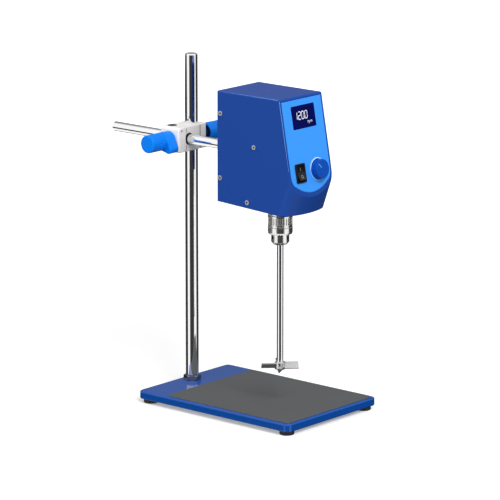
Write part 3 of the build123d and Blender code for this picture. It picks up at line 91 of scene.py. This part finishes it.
def finish_material(name, color, rough, metal=0.0, grain=0.0, grain_scale=900.0, mottle=0.06,
                    mottle_scale=40.0, rough_vary=0.06, coat=0.0, coat_rough=0.1, stretch=(1, 1, 1),
                    bump=0.05, round_edge=0.0, specular=0.5):
    """A surface with fine grain, slow colour drift, roughness variation and soft edges."""
    material = bpy.data.materials.new(name)
    nodes, links = tree(material)
    out = node(nodes, "ShaderNodeOutputMaterial")
    shader = node(nodes, "ShaderNodeBsdfPrincipled", **{
        "Metallic": metal, "Coat Weight": coat, "Coat Roughness": coat_rough,
        "Specular IOR Level": specular})
    coords = node(nodes, "ShaderNodeTexCoord")
    mapping = node(nodes, "ShaderNodeMapping", Scale=stretch)
    slow = node(nodes, "ShaderNodeTexNoise", Scale=mottle_scale, Detail=3.0)
    fine = node(nodes, "ShaderNodeTexNoise", Scale=grain_scale, Detail=2.0)
    drift = node(nodes, "ShaderNodeMapRange", **{"To Min": 1.0 - mottle, "To Max": 1.0 + mottle})
    tint = node(nodes, "ShaderNodeVectorMath", operation="SCALE")
    tint.inputs[0].default_value = color
    vary = node(nodes, "ShaderNodeMapRange", **{
        "To Min": max(LEAST_ROUGH, rough - rough_vary), "To Max": rough + rough_vary})
    relief = node(nodes, "ShaderNodeBump", Strength=grain, Distance=bump * MM)
    for start, end in (
        (shader.outputs[0], out.inputs["Surface"]),
        (coords.outputs["Object"], mapping.inputs["Vector"]),
        (mapping.outputs[0], slow.inputs["Vector"]),
        (mapping.outputs[0], fine.inputs["Vector"]),
        (slow.outputs["Fac"], drift.inputs["Value"]),
        (drift.outputs[0], tint.inputs["Scale"]),
        (tint.outputs[0], shader.inputs["Base Color"]),
        (slow.outputs["Fac"], vary.inputs["Value"]),
        (vary.outputs[0], shader.inputs["Roughness"]),
        (fine.outputs["Fac"], relief.inputs["Height"]),
        (relief.outputs[0], shader.inputs["Normal"]),
    ):
        links.new(start, end)
    if round_edge:
        soft = node(nodes, "ShaderNodeBevel", samples=BEVEL_SAMPLES, Radius=round_edge * MM)
        links.new(soft.outputs[0], relief.inputs["Normal"])
        if coat:
            links.new(soft.outputs[0], shader.inputs["Coat Normal"])
    return material


def lin(r, g, b):
    """A colour written as it looks, 0 to 255, turned into light values."""
    return tuple((c / 255.0) ** 2.2 for c in (r, g, b))


FINISHES = {
    "housing_blue": dict(
        color=lin(31, 71, 152), rough=0.4, grain=0.2, grain_scale=1400, coat=0.1, coat_rough=0.12,
        mottle=0.03, specular=0.15, round_edge=0.9),
    "plate_blue": dict(
        color=lin(16, 75, 157), rough=0.34, grain=0.2, grain_scale=1400, coat=0.85, coat_rough=0.12,
        mottle=0.03, specular=0.0, round_edge=0.7),
    "mat_grey": dict(
        color=lin(88, 90, 91), rough=0.8, grain=0.6, grain_scale=1800, mottle=0.05, bump=0.12,
        specular=0.15),
    "black_rubber": dict(color=lin(26, 26, 28), rough=0.6, grain=0.4, grain_scale=1500),
    # painted highlight: the lighter blue of the beads along the housing's edges
    "painted_highlight_blue": dict(
        color=lin(104, 148, 212), rough=0.35, grain=0.1, grain_scale=1400, mottle=0.06, specular=0.3),
    "nut_steel": dict(
        color=lin(132, 132, 138), rough=0.1, metal=1.0, grain=0.05, grain_scale=2500, rough_vary=0.02,
        round_edge=0.4),
    "zinc_steel": dict(
        color=lin(222, 223, 226), rough=0.24, metal=1.0, grain=0.15, grain_scale=2200, round_edge=0.3),
    "polished_steel": dict(
        color=lin(238, 238, 240), rough=0.07, metal=1.0, grain=0.05, grain_scale=2500,
        stretch=(1, 1, 0.05), rough_vary=0.02, mottle=0.02, round_edge=0.3),
    "arm_steel": dict(
        color=lin(238, 238, 238), rough=0.07, metal=1.0, grain=0.05, grain_scale=2500,
        stretch=(1, 0.05, 1), rough_vary=0.02, mottle=0.02, round_edge=0.3),
    "clamp_casting": dict(
        color=lin(246, 243, 240), rough=0.5, grain=0.7, grain_scale=700, bump=0.12, mottle=0.05,
        specular=0.3, round_edge=0.3),
    # painted shade: near-black of the lines in the clamp casting's groove and beside its step
    "painted_seam_shade": dict(
        color=lin(34, 32, 31), rough=0.6, grain=0.3, grain_scale=900, mottle=0.15, specular=0.2),
    # painted shade: dark navy of the skins on the clamp knobs' inner faces
    "knob_shade": dict(
        color=lin(10, 26, 74), rough=0.6, grain=0.3, grain_scale=1500, mottle=0.06, specular=0.1),
    "chuck_steel": dict(
        color=lin(232, 232, 228), rough=0.2, metal=1.0, grain=0.15, grain_scale=1800,
        stretch=(1, 1, 0.15), round_edge=0.25),
    "knob_blue": dict(
        color=lin(2, 128, 246), rough=0.4, grain=0.15, grain_scale=1600, coat=0.08, coat_rough=0.15,
        mottle=0.02, specular=0.15, round_edge=0.4),
    "panel_blue": dict(
        color=lin(62, 152, 252), rough=0.5, grain=0.1, grain_scale=2600, mottle=0.012, specular=0.2),
    "ring_blue": dict(
        color=lin(120, 186, 252), rough=0.2, grain=0.05, coat=0.5, coat_rough=0.06, mottle=0.01),
    "display_navy": dict(
        color=lin(6, 16, 84), rough=0.2, coat=0.3, coat_rough=0.04, mottle=0.05, grain=0.02, specular=0.2),
    # also used for the painted shade in the clamp's pocket, dot hole and arm bores and in the chuck key
    # bores
    "black_plastic": dict(
        color=lin(20, 20, 24), rough=0.5, grain=0.5, grain_scale=1500, bump=0.06, specular=0.3,
        round_edge=0.3),
    # also used for the painted shade in the screws' sockets
    "gloss_black": dict(
        color=lin(16, 15, 17), rough=0.3, grain=0.1, coat=0.06, specular=0.25, round_edge=0.3),
    "board_green": dict(color=lin(18, 96, 52), rough=0.35, grain=0.3, grain_scale=700),
    "knob_mid_blue": dict(
        color=lin(5, 74, 172), rough=0.42, grain=0.3, grain_scale=1500, bump=0.04, mottle=0.02,
        specular=0.25, round_edge=0.3),
    # print, and also the painted highlights on the dial ring
    "white_paint": dict(color=lin(240, 243, 248), rough=0.5, grain=0.1, specular=0.2),
    "mark_grey": dict(color=lin(150, 148, 142), rough=0.5, grain=0.2, specular=0.2),
    "pointer_blue": dict(color=lin(74, 150, 226), rough=0.45, grain=0.2, specular=0.2, round_edge=0.1),
    "bare_aluminium": dict(
        color=lin(200, 201, 205), rough=0.35, metal=1.0, grain=0.3, grain_scale=1600, stretch=(1, 1, 0.1),
        round_edge=0.3),
    "core_steel": dict(color=lin(120, 120, 124), rough=0.4, metal=0.9, grain=0.5, stretch=(0.05, 0.05, 3)),
    "copper": dict(color=lin(190, 104, 50), rough=0.3, metal=1.0, grain=0.8, stretch=(0.1, 0.1, 4)),
    "magnet_dark": dict(color=lin(70, 70, 74), rough=0.4, metal=0.6, grain=0.3),
    "brass": dict(color=lin(212, 180, 106), rough=0.3, metal=1.0, grain=0.2),
    "satin_steel": dict(
        color=lin(206, 206, 206), rough=0.2, metal=1.0, grain=0.2, grain_scale=1800, stretch=(1, 1, 0.15),
        round_edge=0.25),
}
M = {name: finish_material(name, **look) for name, look in FINISHES.items()}

# CAD nodes that look different from the rest of their slot
OWN_FINISH = {
    "support_arm": "arm_steel", "rod_jam_nut": "nut_steel", "chuck_sleeve": "chuck_steel",
    "chuck_body": "chuck_steel", "knob_pointer": "pointer_blue", "pale_plastic": "ring_blue",
}
for item in frame["record"]["subparts"]:
    slot = item["material_slot"]
    mesh = bpy.data.objects[item["node"]].data
    mesh.materials.clear()
    mesh.materials.append(M[OWN_FINISH.get(item["node"], OWN_FINISH.get(slot, slot))])

# ---------------------------------------------------------------- places, in mm
ARM_X, ROD_Y, ARM_Z, SPINDLE_Y = -20.0, 59.0, 325.0, -101.0
HEAD_BACK, FLAT_TOP, HEAD_TOP, HEAD_W = -35.0, 96.7, 400.0, 77.5
LEAN = 0.18
RISE = math.sqrt(1 + LEAN**2)
PANEL_N = Vector((0, -1, LEAN)) / RISE
PANEL_U = Vector((0, LEAN, 1)) / RISE
PANEL_R = Vector((1, 0, 0))


def spot(x, y, z):
    """A point given in mm, in the metres of the scene."""
    return Vector((x, y, z)) * MM


def around(u, v, angle):
    """A direction in the plane of u and v."""
    return u * math.cos(angle) + v * math.sin(angle)


def flat_y(z):
    """Where the sloping front stands at height z."""
    return HEAD_BACK - FLAT_TOP - LEAN * (HEAD_TOP - z)


def panel(x, up, out):
    """A point on the front panel: mm right of the arm, mm above it, mm out of the panel."""
    z = ARM_Z + up
    return spot(ARM_X + x, flat_y(z), z) + PANEL_N * out * MM


def place(name, mesh, material, body):
    """Puts a mesh in the scene as a piece that rides on a body."""
    thing = bpy.data.objects.new(name, mesh)
    bpy.context.scene.collection.objects.link(thing)
    mesh.materials.clear()
    mesh.materials.append(M[material])
    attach(thing, body)


def make(name, verts, faces, material, body, slot, smooth=False):
    """A piece from its corners and faces."""
    mesh = bpy.data.meshes.new(name)
    mesh.from_pydata(verts, [], faces)
    mesh.update()
    for face in mesh.polygons:
        face.use_smooth = smooth
    place(name, mesh, material, body)


def plates(origin, polygons, thick):
    """Thin raised shapes on the panel from outlines in mm, right and up from origin."""
    verts, faces = [], []
    for outline in polygons:
        start = len(verts)
        count = len(outline)
        for out in (0.0, thick):
            for x, y in outline:
                verts.append(origin + PANEL_R * x * MM + PANEL_U * y * MM + PANEL_N * out * MM)
        faces.append(tuple(start + count + i for i in range(count)))
        faces.append(tuple(start + i for i in reversed(range(count))))
        for i in range(count):
            j = (i + 1) % count
            faces.append((start + i, start + j, start + count + j, start + count + i))
    return verts, faces


SEGMENTS = {"1": "bc", "2": "abged", "0": "abcdef"}


def digit_outlines(text, height, width, gap, stroke, slant, inset=0.12):
    """Seven-segment figures as outlines in mm, from the lower left corner of the first."""
    shapes = []
    x0 = 0.0
    for char in text:
        w = stroke if char == "1" else width
        half = height / 2
        s = stroke / 2
        lines = {
            "a": ((0, height), (w, height)), "g": ((0, half), (w, half)), "d": ((0, 0), (w, 0)),
            "f": ((0, height), (0, half)), "e": ((0, half), (0, 0)),
            "b": ((w, height), (w, half)), "c": ((w, half), (w, 0)),
        }
        for key in SEGMENTS[char]:
            (ax, ay), (bx, by) = lines[key]
            if char == "1":
                ax = bx = s
            direction = Vector((bx - ax, by - ay)).normalized()
            side = Vector((-direction.y, direction.x)) * s
            a = Vector((ax, ay)) + direction * inset
            b = Vector((bx, by)) - direction * inset
            points = [a, a + direction * s + side, b - direction * s + side, b,
                      b - direction * s - side, a + direction * s - side]
            shapes.append([(x0 + p.x + p.y * slant, p.y) for p in points][::-1])
        x0 += w + gap
    return shapes


LENS_OUT = 0.52
LCD_X, LCD_UP, LCD_W, LCD_H = 0.5, 50.7, 42.0, 27.6
DIGITS_X, DIGITS_DOWN, UNIT_X, UNIT_DOWN, UNIT_SIZE = 8.6, 16.3, 31.2, 20.4, 5.2


def on_lens(x, down):
    """A point on the display: mm from its left edge and mm down from its top edge."""
    corner = panel(LCD_X, LCD_UP, LENS_OUT) - PANEL_R * LCD_W / 2 * MM + PANEL_U * LCD_H / 2 * MM
    return corner + PANEL_R * x * MM - PANEL_U * down * MM


shapes = digit_outlines("1200", height=8.8, width=4.3, gap=1.7, stroke=1.0, slant=0.05)
digits = plates(on_lens(DIGITS_X, DIGITS_DOWN), shapes, 0.06)
make("display_digits", *digits, "white_paint", "head", "white_paint")


def lettering(name, text, size, centre, right, up, material, body, thick=0.05):
    """Flat letters of the built-in font, standing thick mm over the surface."""
    curve = bpy.data.curves.new(name, "FONT")
    curve.body = text
    curve.size = size * MM
    curve.extrude = thick * MM / 2
    curve.align_x = "CENTER"
    curve.align_y = "CENTER"
    curve.resolution_u = 3
    temp = bpy.data.objects.new(name + "_curve", curve)
    mesh = bpy.data.meshes.new_from_object(temp)
    bpy.data.objects.remove(temp)
    normal = right.cross(up)
    matrix = Matrix((right, up, normal)).transposed().to_4x4()
    matrix.translation = centre
    mesh.transform(matrix)
    mesh.name = name
    place(name, mesh, material, body)


lettering("display_unit", "rpm", UNIT_SIZE, on_lens(UNIT_X, UNIT_DOWN), PANEL_R, PANEL_U,
          "white_paint", "head")


# ---------------------------------------------------------------- small pieces
def ribbon(name, left, right, normals, thick, material, body, slot, closed=False):
    """A thin strip between two lines of points, standing thick mm over the surface."""
    verts, faces = [], []
    count = len(left)
    for a, b, n in zip(left, right, normals):
        verts += [a - n * thick * MM, b - n * thick * MM, b + n * thick * MM, a + n * thick * MM]
    for i in range(count if closed else count - 1):
        j = (i + 1) % count
        for k in range(4):
            m = (k + 1) % 4
            faces.append((4 * i + k, 4 * i + m, 4 * j + m, 4 * j + k))
    if not closed:
        faces.append((3, 2, 1, 0))
        faces.append(tuple(4 * (count - 1) + k for k in range(4)))
    make(name, verts, faces, material, body, slot)


def lathe(name, centre, axis, profile, material, body, slot, turns=48):
    """A turned ring: profile points are (radius, distance along the axis) in mm, closed."""
    axis = Vector(axis)
    u = axis.orthogonal().normalized()
    v = axis.cross(u)
    verts, faces = [], []
    count = len(profile)
    for i in range(turns):
        out = around(u, v, 2 * math.pi * i / turns)
        verts += [centre + out * r * MM + axis * h * MM for r, h in profile]
    for i in range(turns):
        j = (i + 1) % turns
        for k in range(count):
            m = (k + 1) % count
            faces.append((count * i + k, count * j + k, count * j + m, count * i + m))
    make(name, verts, faces, material, body, slot)


ASKEW = Vector((0.3, 0.5, 0.81))  # along none of the beads


def tube(name, points, radius, material, body, slot, sides=8):
    """A fine bead along a line of points."""
    verts, faces = [], []
    for i, point in enumerate(points):
        ahead = (points[min(i + 1, len(points) - 1)] - points[max(i - 1, 0)]).normalized()
        u = ahead.cross(ASKEW).normalized()
        v = ahead.cross(u)
        verts += [point + around(u, v, 2 * math.pi * k / sides) * radius * MM for k in range(sides)]
    for i in range(len(points) - 1):
        for k in range(sides):
            m = (k + 1) % sides
            faces.append((sides * i + k, sides * i + m, sides * (i + 1) + m, sides * (i + 1) + k))
    faces.append(tuple(reversed(range(sides))))
    faces.append(tuple(sides * (len(points) - 1) + k for k in range(sides)))
    make(name, verts, faces, material, body, slot, smooth=True)


# painted highlights: thin lighter beads along the housing's edges stand for light catching them
EDGE_R, FRONT_IN = 1.8, 0.12
EDGE_IN = EDGE_R * (1 - math.sqrt(0.5)) + 0.1
EDGE_Z, EDGE_Y, EDGE_X = (398.2, 350.0, 316.0), (-36.0, -80.0, -130.2), (-37.3, 0.0, 37.3)
edge_level = HEAD_TOP - EDGE_IN
beads = []
for sign, tag in ((-1, "left"), (1, "right")):
    front_x, top_x = (ARM_X + sign * (HEAD_W / 2 - back_off) for back_off in (FRONT_IN, EDGE_IN))
    beads.append(("front_" + tag, 0.3, [spot(front_x, flat_y(z) + FRONT_IN, z) for z in EDGE_Z]))
    beads.append(("top_" + tag, 0.28, [spot(top_x, y, edge_level) for y in EDGE_Y]))
beads.append(("top_front", 0.28, [spot(ARM_X + x, flat_y(HEAD_TOP) + EDGE_IN, edge_level) for x in EDGE_X]))
for tag, radius, points in beads:
    tube("edge_" + tag, points, radius, "painted_highlight_blue", "head", "housing_blue")

# painted shade: small dark discs in the hex sockets of the screws in the head's sides and back stand for
# the shade inside them
SCREW_SPOTS = ((-5.9, 48.2), (-5.2, -30.5), (-58.5, 13.4), (-47.9, -55.0))
BACK_SCREW_R, BACK_SCREW_TURNS = 14.0, (45, 135, 225, 315)
SOCKET_R, SOCKET_LOW, SOCKET_HIGH, SOCKET_SIDES = 1.28, 0.72, 0.8, 12
socket_verts, socket_faces = [], []


def socket(centre, normal):
    """Adds a small dark disc just over a screw's head, as painted shade in its socket."""
    normal = Vector(normal)
    u = normal.orthogonal().normalized()
    v = normal.cross(u)
    start = len(socket_verts)
    sides = range(SOCKET_SIDES)
    for h in (SOCKET_LOW, SOCKET_HIGH):
        for k in sides:
            out = around(u, v, 2 * math.pi * k / SOCKET_SIDES) * SOCKET_R
            socket_verts.append(centre + (out + normal * h) * MM)
    socket_faces.append(tuple(start + SOCKET_SIDES + k for k in sides))
    socket_faces.append(tuple(start + k for k in reversed(sides)))
    for k in sides:
        m = (k + 1) % SOCKET_SIDES
        socket_faces.append((start + k, start + m, start + SOCKET_SIDES + m, start + SOCKET_SIDES + k))


for sign in (-1, 1):
    for y, z in SCREW_SPOTS:
        socket(spot(ARM_X + sign * HEAD_W / 2, HEAD_BACK + y, ARM_Z + z), (sign, 0, 0))
for turn in BACK_SCREW_TURNS:
    x, z = BACK_SCREW_R * math.cos(math.radians(turn)), BACK_SCREW_R * math.sin(math.radians(turn))
    socket(spot(ARM_X + x, HEAD_BACK, ARM_Z + z), (0, 1, 0))
make("screw_socket_painted_shade", socket_verts, socket_faces, "gloss_black", "head", "gloss_black")

# painted highlights: white arcs on the dial ring stand for light on it
DIAL_X, DIAL_UP, DIAL_OUT, SHINE_R, SHINE_STEPS = 13.0, -13.5, 1.3, 13.45, 25
for tag, start, end in (("top", 60, 172), ("low", -68, -22)):
    inner, outer = [], []
    for k in range(SHINE_STEPS):
        share = k / (SHINE_STEPS - 1)
        angle = math.radians(start + (end - start) * share)
        taper = math.sin(math.pi * share) ** 0.5
        for line, r in ((inner, SHINE_R - 0.5 * taper), (outer, SHINE_R + 0.4 * taper)):
            line.append(panel(DIAL_X + r * math.cos(angle), DIAL_UP + r * math.sin(angle), DIAL_OUT))
    ribbon("dial_painted_highlight_" + tag, inner, outer, [PANEL_N] * SHINE_STEPS, 0.05,
           "white_paint", "head", "white_paint")

# I and O on the rocker, which is tilted 10 degrees at rest
TILT = math.radians(10.0)
ROCKER_R, ROCKER_SAG, ROCKER_HALF = 3.0, 1.4, 9.2
ROCKER_UP = PANEL_U * math.cos(TILT) - PANEL_N * math.sin(TILT)
ROCKER_OUT = PANEL_R.cross(ROCKER_UP)
PIVOT = panel(-18.8, -13.8, -1.2)
BAR_HALF, BAR_LOW, BAR_STEP, BAR_POINTS = 0.35, 2.8, 0.4, 10
RING_UP, RING_IN, RING_OUT, RING_POINTS = -4.8, 1.35, 1.95, 32


def rocker_point(x, up):
    """A point on the rocker's hollow face, in mm from its pivot."""
    out = ROCKER_R + ROCKER_SAG * (up / ROCKER_HALF) ** 2
    return PIVOT + (PANEL_R * x + ROCKER_UP * up + ROCKER_OUT * out) * MM


def ring_line(radius):
    turns = [2 * math.pi * k / RING_POINTS for k in range(RING_POINTS)]
    return [rocker_point(radius * math.cos(a), RING_UP + radius * math.sin(a)) for a in turns]


bar = [BAR_LOW + BAR_STEP * k for k in range(BAR_POINTS)]
ribbon("rocker_mark_on", [rocker_point(-BAR_HALF, u) for u in bar],
       [rocker_point(BAR_HALF, u) for u in bar], [ROCKER_OUT] * BAR_POINTS, 0.05,
       "mark_grey", "rocker", "white_paint")
ribbon("rocker_mark_off", ring_line(RING_IN), ring_line(RING_OUT), [ROCKER_OUT] * RING_POINTS, 0.05,
       "mark_grey", "rocker", "white_paint", closed=True)

# painted shade: dark skins in the clamp's top pocket and its dot hole, and in the arm's bores reaching a
# little onto the arm as a painted dark reflection
CLAMP_TOP, CLAMP_FRONT, CLAMP_REAR, CLAMP_STEP = 340.5, 45.0, 73.0, 1.0
lathe("clamp_pocket_painted_shade", spot(-28.0, 65.5, CLAMP_TOP), (0, 0, 1),
      [(6.18, -0.1), (6.18, -4.95), (0.2, -4.95), (0.2, -4.3), (5.6, -4.3), (5.6, -0.1)],
      "black_plastic", "clamp", "black_plastic")
for tag, y, sign in (("front", CLAMP_FRONT, 1), ("rear", CLAMP_REAR, -1)):
    lathe("arm_bore_painted_shade_" + tag, spot(ARM_X, y, ARM_Z), (0, sign, 0),
          [(7.38, 0.6), (7.38, 3.95), (6.07, 3.95), (6.07, -2.0), (6.6, -2.0), (7.0, 0.6)],
          "black_plastic", "clamp", "black_plastic")
lathe("clamp_dot_painted_shade", spot(-34.2, CLAMP_FRONT - CLAMP_STEP, 336.3), (0, 1, 0),
      [(0.05, 0.3), (1.14, 0.3), (1.14, 1.0), (0.05, 1.0)],
      "black_plastic", "clamp", "black_plastic", turns=20)

# painted shade: dark lines in the parting groove of the clamp casting and beside the step of its left
# block, front and rear
EDGE_LINE_X, SEAM_X = -24.9, 0.4
for tag, y, step in (("front", 45.3, 44.95), ("rear", 72.7, 73.05)):
    for part, low, high in (("upper", 332.2, 338.6), ("lower", 311.4, 317.6)):
        tube("clamp_edge_%s_%s" % (tag, part),
             [spot(EDGE_LINE_X, step, z) for z in (low, (low + high) / 2, high)],
             0.3, "painted_seam_shade", "clamp", "clamp_casting")
    tube("clamp_seam_shade_" + tag, [spot(SEAM_X, y, z) for z in (310.8, 325.0, 339.2)],
         0.55, "painted_seam_shade", "clamp", "clamp_casting")
tube("clamp_seam_shade_top", [spot(SEAM_X, y, 339.95) for y in (46.3, 48.4, 50.4)],
     0.42, "painted_seam_shade", "clamp", "clamp_casting")

# painted shade: dark skins on the inner faces of the two clamp knobs, on the outline of their flange
FLANGE_R, LOBE_OUT, LOBE_R, SHADE_IN, SCREW_HOLE = 11.2, 14.0, 5.2, 1.5, 4.3
ROUND_STEPS, LOBE_STEPS = 36, 16


def knob_shade(name, x, facing, lobe, body):
    """A thin dark skin over the flange's inner face as painted shade, open round its screw; lobe is the
    lobe's angle.
    """
    spread = math.acos((FLANGE_R - LOBE_R) / LOBE_OUT)
    big, small = FLANGE_R - SHADE_IN, LOBE_R - SHADE_IN
    outline = []
    for k in range(ROUND_STEPS + 1):
        angle = lobe + spread + (2 * math.pi - 2 * spread) * k / ROUND_STEPS
        outline.append((big * math.cos(angle), big * math.sin(angle)))
    for k in range(LOBE_STEPS + 1):
        angle = lobe - spread + 2 * spread * k / LOBE_STEPS
        outline.append((LOBE_OUT * math.cos(lobe) + small * math.cos(angle),
                        LOBE_OUT * math.sin(lobe) + small * math.sin(angle)))
    inner, outer = [], []
    for a, b in outline:
        shrink = SCREW_HOLE / math.hypot(a, b)
        outer.append(spot(x, ROD_Y + a, ARM_Z + b))
        inner.append(spot(x, ROD_Y + a * shrink, ARM_Z + b * shrink))
    ribbon(name, inner, outer, [Vector((facing, 0, 0))] * len(inner), 0.06, "knob_shade", body,
           "knob_blue", closed=True)


knob_shade("rod_knob_shade", 24.3, -1, math.radians(-90), "rod_knob")
knob_shade("arm_knob_shade", -40.5, 1, math.radians(-139), "arm_knob")

# painted shade: dark cups inside the bores for the chuck key
KEY_Z, KEY_TURNS = 224.2, (40, 160, 280)
for turn in KEY_TURNS:
    angle = math.radians(turn)
    lathe("key_bore_%d" % turn, spot(ARM_X, SPINDLE_Y, KEY_Z), (math.cos(angle), math.sin(angle), 0),
          [(0.1, 7.6), (2.26, 7.6), (2.26, 10.6), (2.0, 10.6), (2.0, 8.2), (0.1, 8.2)],
          "black_plastic", "drive", "black_plastic", turns=20)

# ---------------------------------------------------------------- floor, light and world
FLOOR_HALF = 12.0
floor_mesh = bpy.data.meshes.new("floor")
corners = [(-FLOOR_HALF, -FLOOR_HALF, 0), (FLOOR_HALF, -FLOOR_HALF, 0),
           (FLOOR_HALF, FLOOR_HALF, 0), (-FLOOR_HALF, FLOOR_HALF, 0)]
floor_mesh.from_pydata(corners, [], [(0, 1, 2, 3)])
floor = bpy.data.objects.new("floor", floor_mesh)
bpy.context.scene.collection.objects.link(floor)
floor_material = bpy.data.materials.new("floor_white")
nodes, links = tree(floor_material)
out = node(nodes, "ShaderNodeOutputMaterial")
seen_floor = node(nodes, "ShaderNodeBsdfDiffuse", Color=(0.86, 0.86, 0.86, 1))
bounce = node(nodes, "ShaderNodeBsdfDiffuse", Color=(0.16, 0.16, 0.16, 1))
lift = node(nodes, "ShaderNodeEmission", Color=(1, 1, 1, 1))
white_floor = node(nodes, "ShaderNodeAddShader")
pick = node(nodes, "ShaderNodeMixShader")
ray = node(nodes, "ShaderNodeLightPath")
# with the distance from the object, in metres, the floor turns as white as the background
coords = node(nodes, "ShaderNodeTexCoord")
distance = node(nodes, "ShaderNodeVectorMath", operation="LENGTH")
rise = node(nodes, "ShaderNodeMapRange", **{
    "From Min": 0.45, "From Max": 2.5, "To Min": 0.3, "To Max": 1.0})
for start, end in (
    (coords.outputs["Object"], distance.inputs[0]),
    (distance.outputs["Value"], rise.inputs["Value"]),
    (rise.outputs["Result"], lift.inputs["Strength"]),
    (seen_floor.outputs[0], white_floor.inputs[0]),
    (lift.outputs[0], white_floor.inputs[1]),
    (ray.outputs["Is Camera Ray"], pick.inputs[0]),
    (bounce.outputs[0], pick.inputs[1]),
    (white_floor.outputs[0], pick.inputs[2]),
    (pick.outputs[0], out.inputs["Surface"]),
):
    links.new(start, end)
floor_mesh.materials.append(floor_material)
floor.visible_glossy = False
floor.visible_transmission = False

LIT_CENTRE = Vector((0, -0.05, 0.2))
# name, place, side of the square lamp in metres, watts
LAMPS = (
    ("key", (-1.5, -3.1, 2.9), 2.2, 150),
    ("side", (-4.0, 0.2, 0.9), 1.8, 48),
)
for name, where, side, watts in LAMPS:
    light = bpy.data.lights.new(name, "AREA")
    light.shape = "RECTANGLE"
    light.size = light.size_y = side
    light.energy = watts
    lamp = bpy.data.objects.new(name, light)
    bpy.context.scene.collection.objects.link(lamp)
    lamp.location = where
    lamp.rotation_euler = (Vector(where) - LIT_CENTRE).to_track_quat("Z", "Y").to_euler()
    lamp.visible_glossy = False

# A white room with dark flags, which only mirror-like surfaces show. Angles are in degrees,
# SIDE from the photographer's side of the room (right is positive) and HEIGHT over the horizon.
world = bpy.data.worlds.new("world")
bpy.context.scene.world = world
world.use_nodes = True
nodes, links = world.node_tree.nodes, world.node_tree.links
nodes.clear()
SOFT = 3.0
PHOTO_SIDE = math.radians(AZIMUTH)
ROOM_LIGHT, PLAIN_LIGHT, SEEN_LIGHT = 1.1, 0.55, 1.0
FLAG_DARK, BEHIND_DARK, BELOW_DARK = 0.96, 0.74, 0.62


def math_node(kind, a, b=None):
    """A math node of the world; a and b are sockets or numbers."""
    item = node(nodes, "ShaderNodeMath", operation=kind)
    for index, value in enumerate((a, b)):
        if value is None:
            continue
        if isinstance(value, (int, float)):
            item.inputs[index].default_value = value
        else:
            links.new(value, item.inputs[index])
    return item.outputs[0]


def ramp(value, start):
    """0 below start and 1 above it, over SOFT degrees."""
    slope = math_node("DIVIDE", math_node("SUBTRACT", value, start - SOFT / 2), SOFT)
    return math_node("MINIMUM", math_node("MAXIMUM", slope, 0.0), 1.0)


def between(value, low, high):
    return math_node("MULTIPLY", ramp(value, low), ramp(math_node("MULTIPLY", value, -1.0), -high))


way = node(nodes, "ShaderNodeTexCoord").outputs["Generated"]
parts = node(nodes, "ShaderNodeSeparateXYZ")
links.new(way, parts.inputs[0])
dir_x, dir_y, dir_z = parts.outputs
toward = math_node("ADD", math_node("MULTIPLY", dir_x, math.sin(PHOTO_SIDE)),
                   math_node("MULTIPLY", dir_y, -math.cos(PHOTO_SIDE)))
aside = math_node("ADD", math_node("MULTIPLY", dir_x, math.cos(PHOTO_SIDE)),
                  math_node("MULTIPLY", dir_y, math.sin(PHOTO_SIDE)))
SIDE = math_node("MULTIPLY", math_node("ARCTAN2", aside, toward), 180 / math.pi)
HEIGHT = math_node("MULTIPLY", math_node("ARCSINE", dir_z), 180 / math.pi)
# left, right, low and high edge of each dark flag
FLAGS = (
    (-36, 38, -31, 3),
    (85, 150, -45, 12),
    (-150, -78, -31, -9),
    (150, 182, -45, 3),
    (-182, -150, -45, 3),
)
dark = 0.0
for left, right, low, high in FLAGS:
    flag = math_node("MULTIPLY", between(SIDE, left, right), between(HEIGHT, low, high))
    dark = math_node("MAXIMUM", flag, dark)
behind = math_node("MULTIPLY", math_node("ADD", between(SIDE, 120, 182), between(SIDE, -182, -120)),
                   between(HEIGHT, -4, 48))
below = math_node("MULTIPLY", between(HEIGHT, -100, -52), BELOW_DARK)
shade = math_node("MAXIMUM", math_node("MULTIPLY", dark, FLAG_DARK),
                  math_node("MULTIPLY", behind, BEHIND_DARK))
shade = math_node("MAXIMUM", shade, below)
light = math_node("MULTIPLY", math_node("SUBTRACT", 1.0, shade), ROOM_LIGHT)
room = node(nodes, "ShaderNodeBackground", Color=(1, 1, 1, 1))
plain = node(nodes, "ShaderNodeBackground", Color=(1, 1, 1, 1), Strength=PLAIN_LIGHT)
seen = node(nodes, "ShaderNodeBackground", Color=(1, 1, 1, 1), Strength=SEEN_LIGHT)
out = node(nodes, "ShaderNodeOutputWorld")
ray = node(nodes, "ShaderNodeLightPath")
mirrored = node(nodes, "ShaderNodeMixShader")
shown = node(nodes, "ShaderNodeMixShader")
direct = math_node("MAXIMUM", ray.outputs["Is Camera Ray"], ray.outputs["Is Transmission Ray"])
for start, end in (
    (light, room.inputs["Strength"]),
    (ray.outputs["Is Glossy Ray"], mirrored.inputs[0]),
    (plain.outputs[0], mirrored.inputs[1]),
    (room.outputs[0], mirrored.inputs[2]),
    (direct, shown.inputs[0]),
    (mirrored.outputs[0], shown.inputs[1]),
    (seen.outputs[0], shown.inputs[2]),
    (shown.outputs[0], out.inputs["Surface"]),
):
    links.new(start, end)
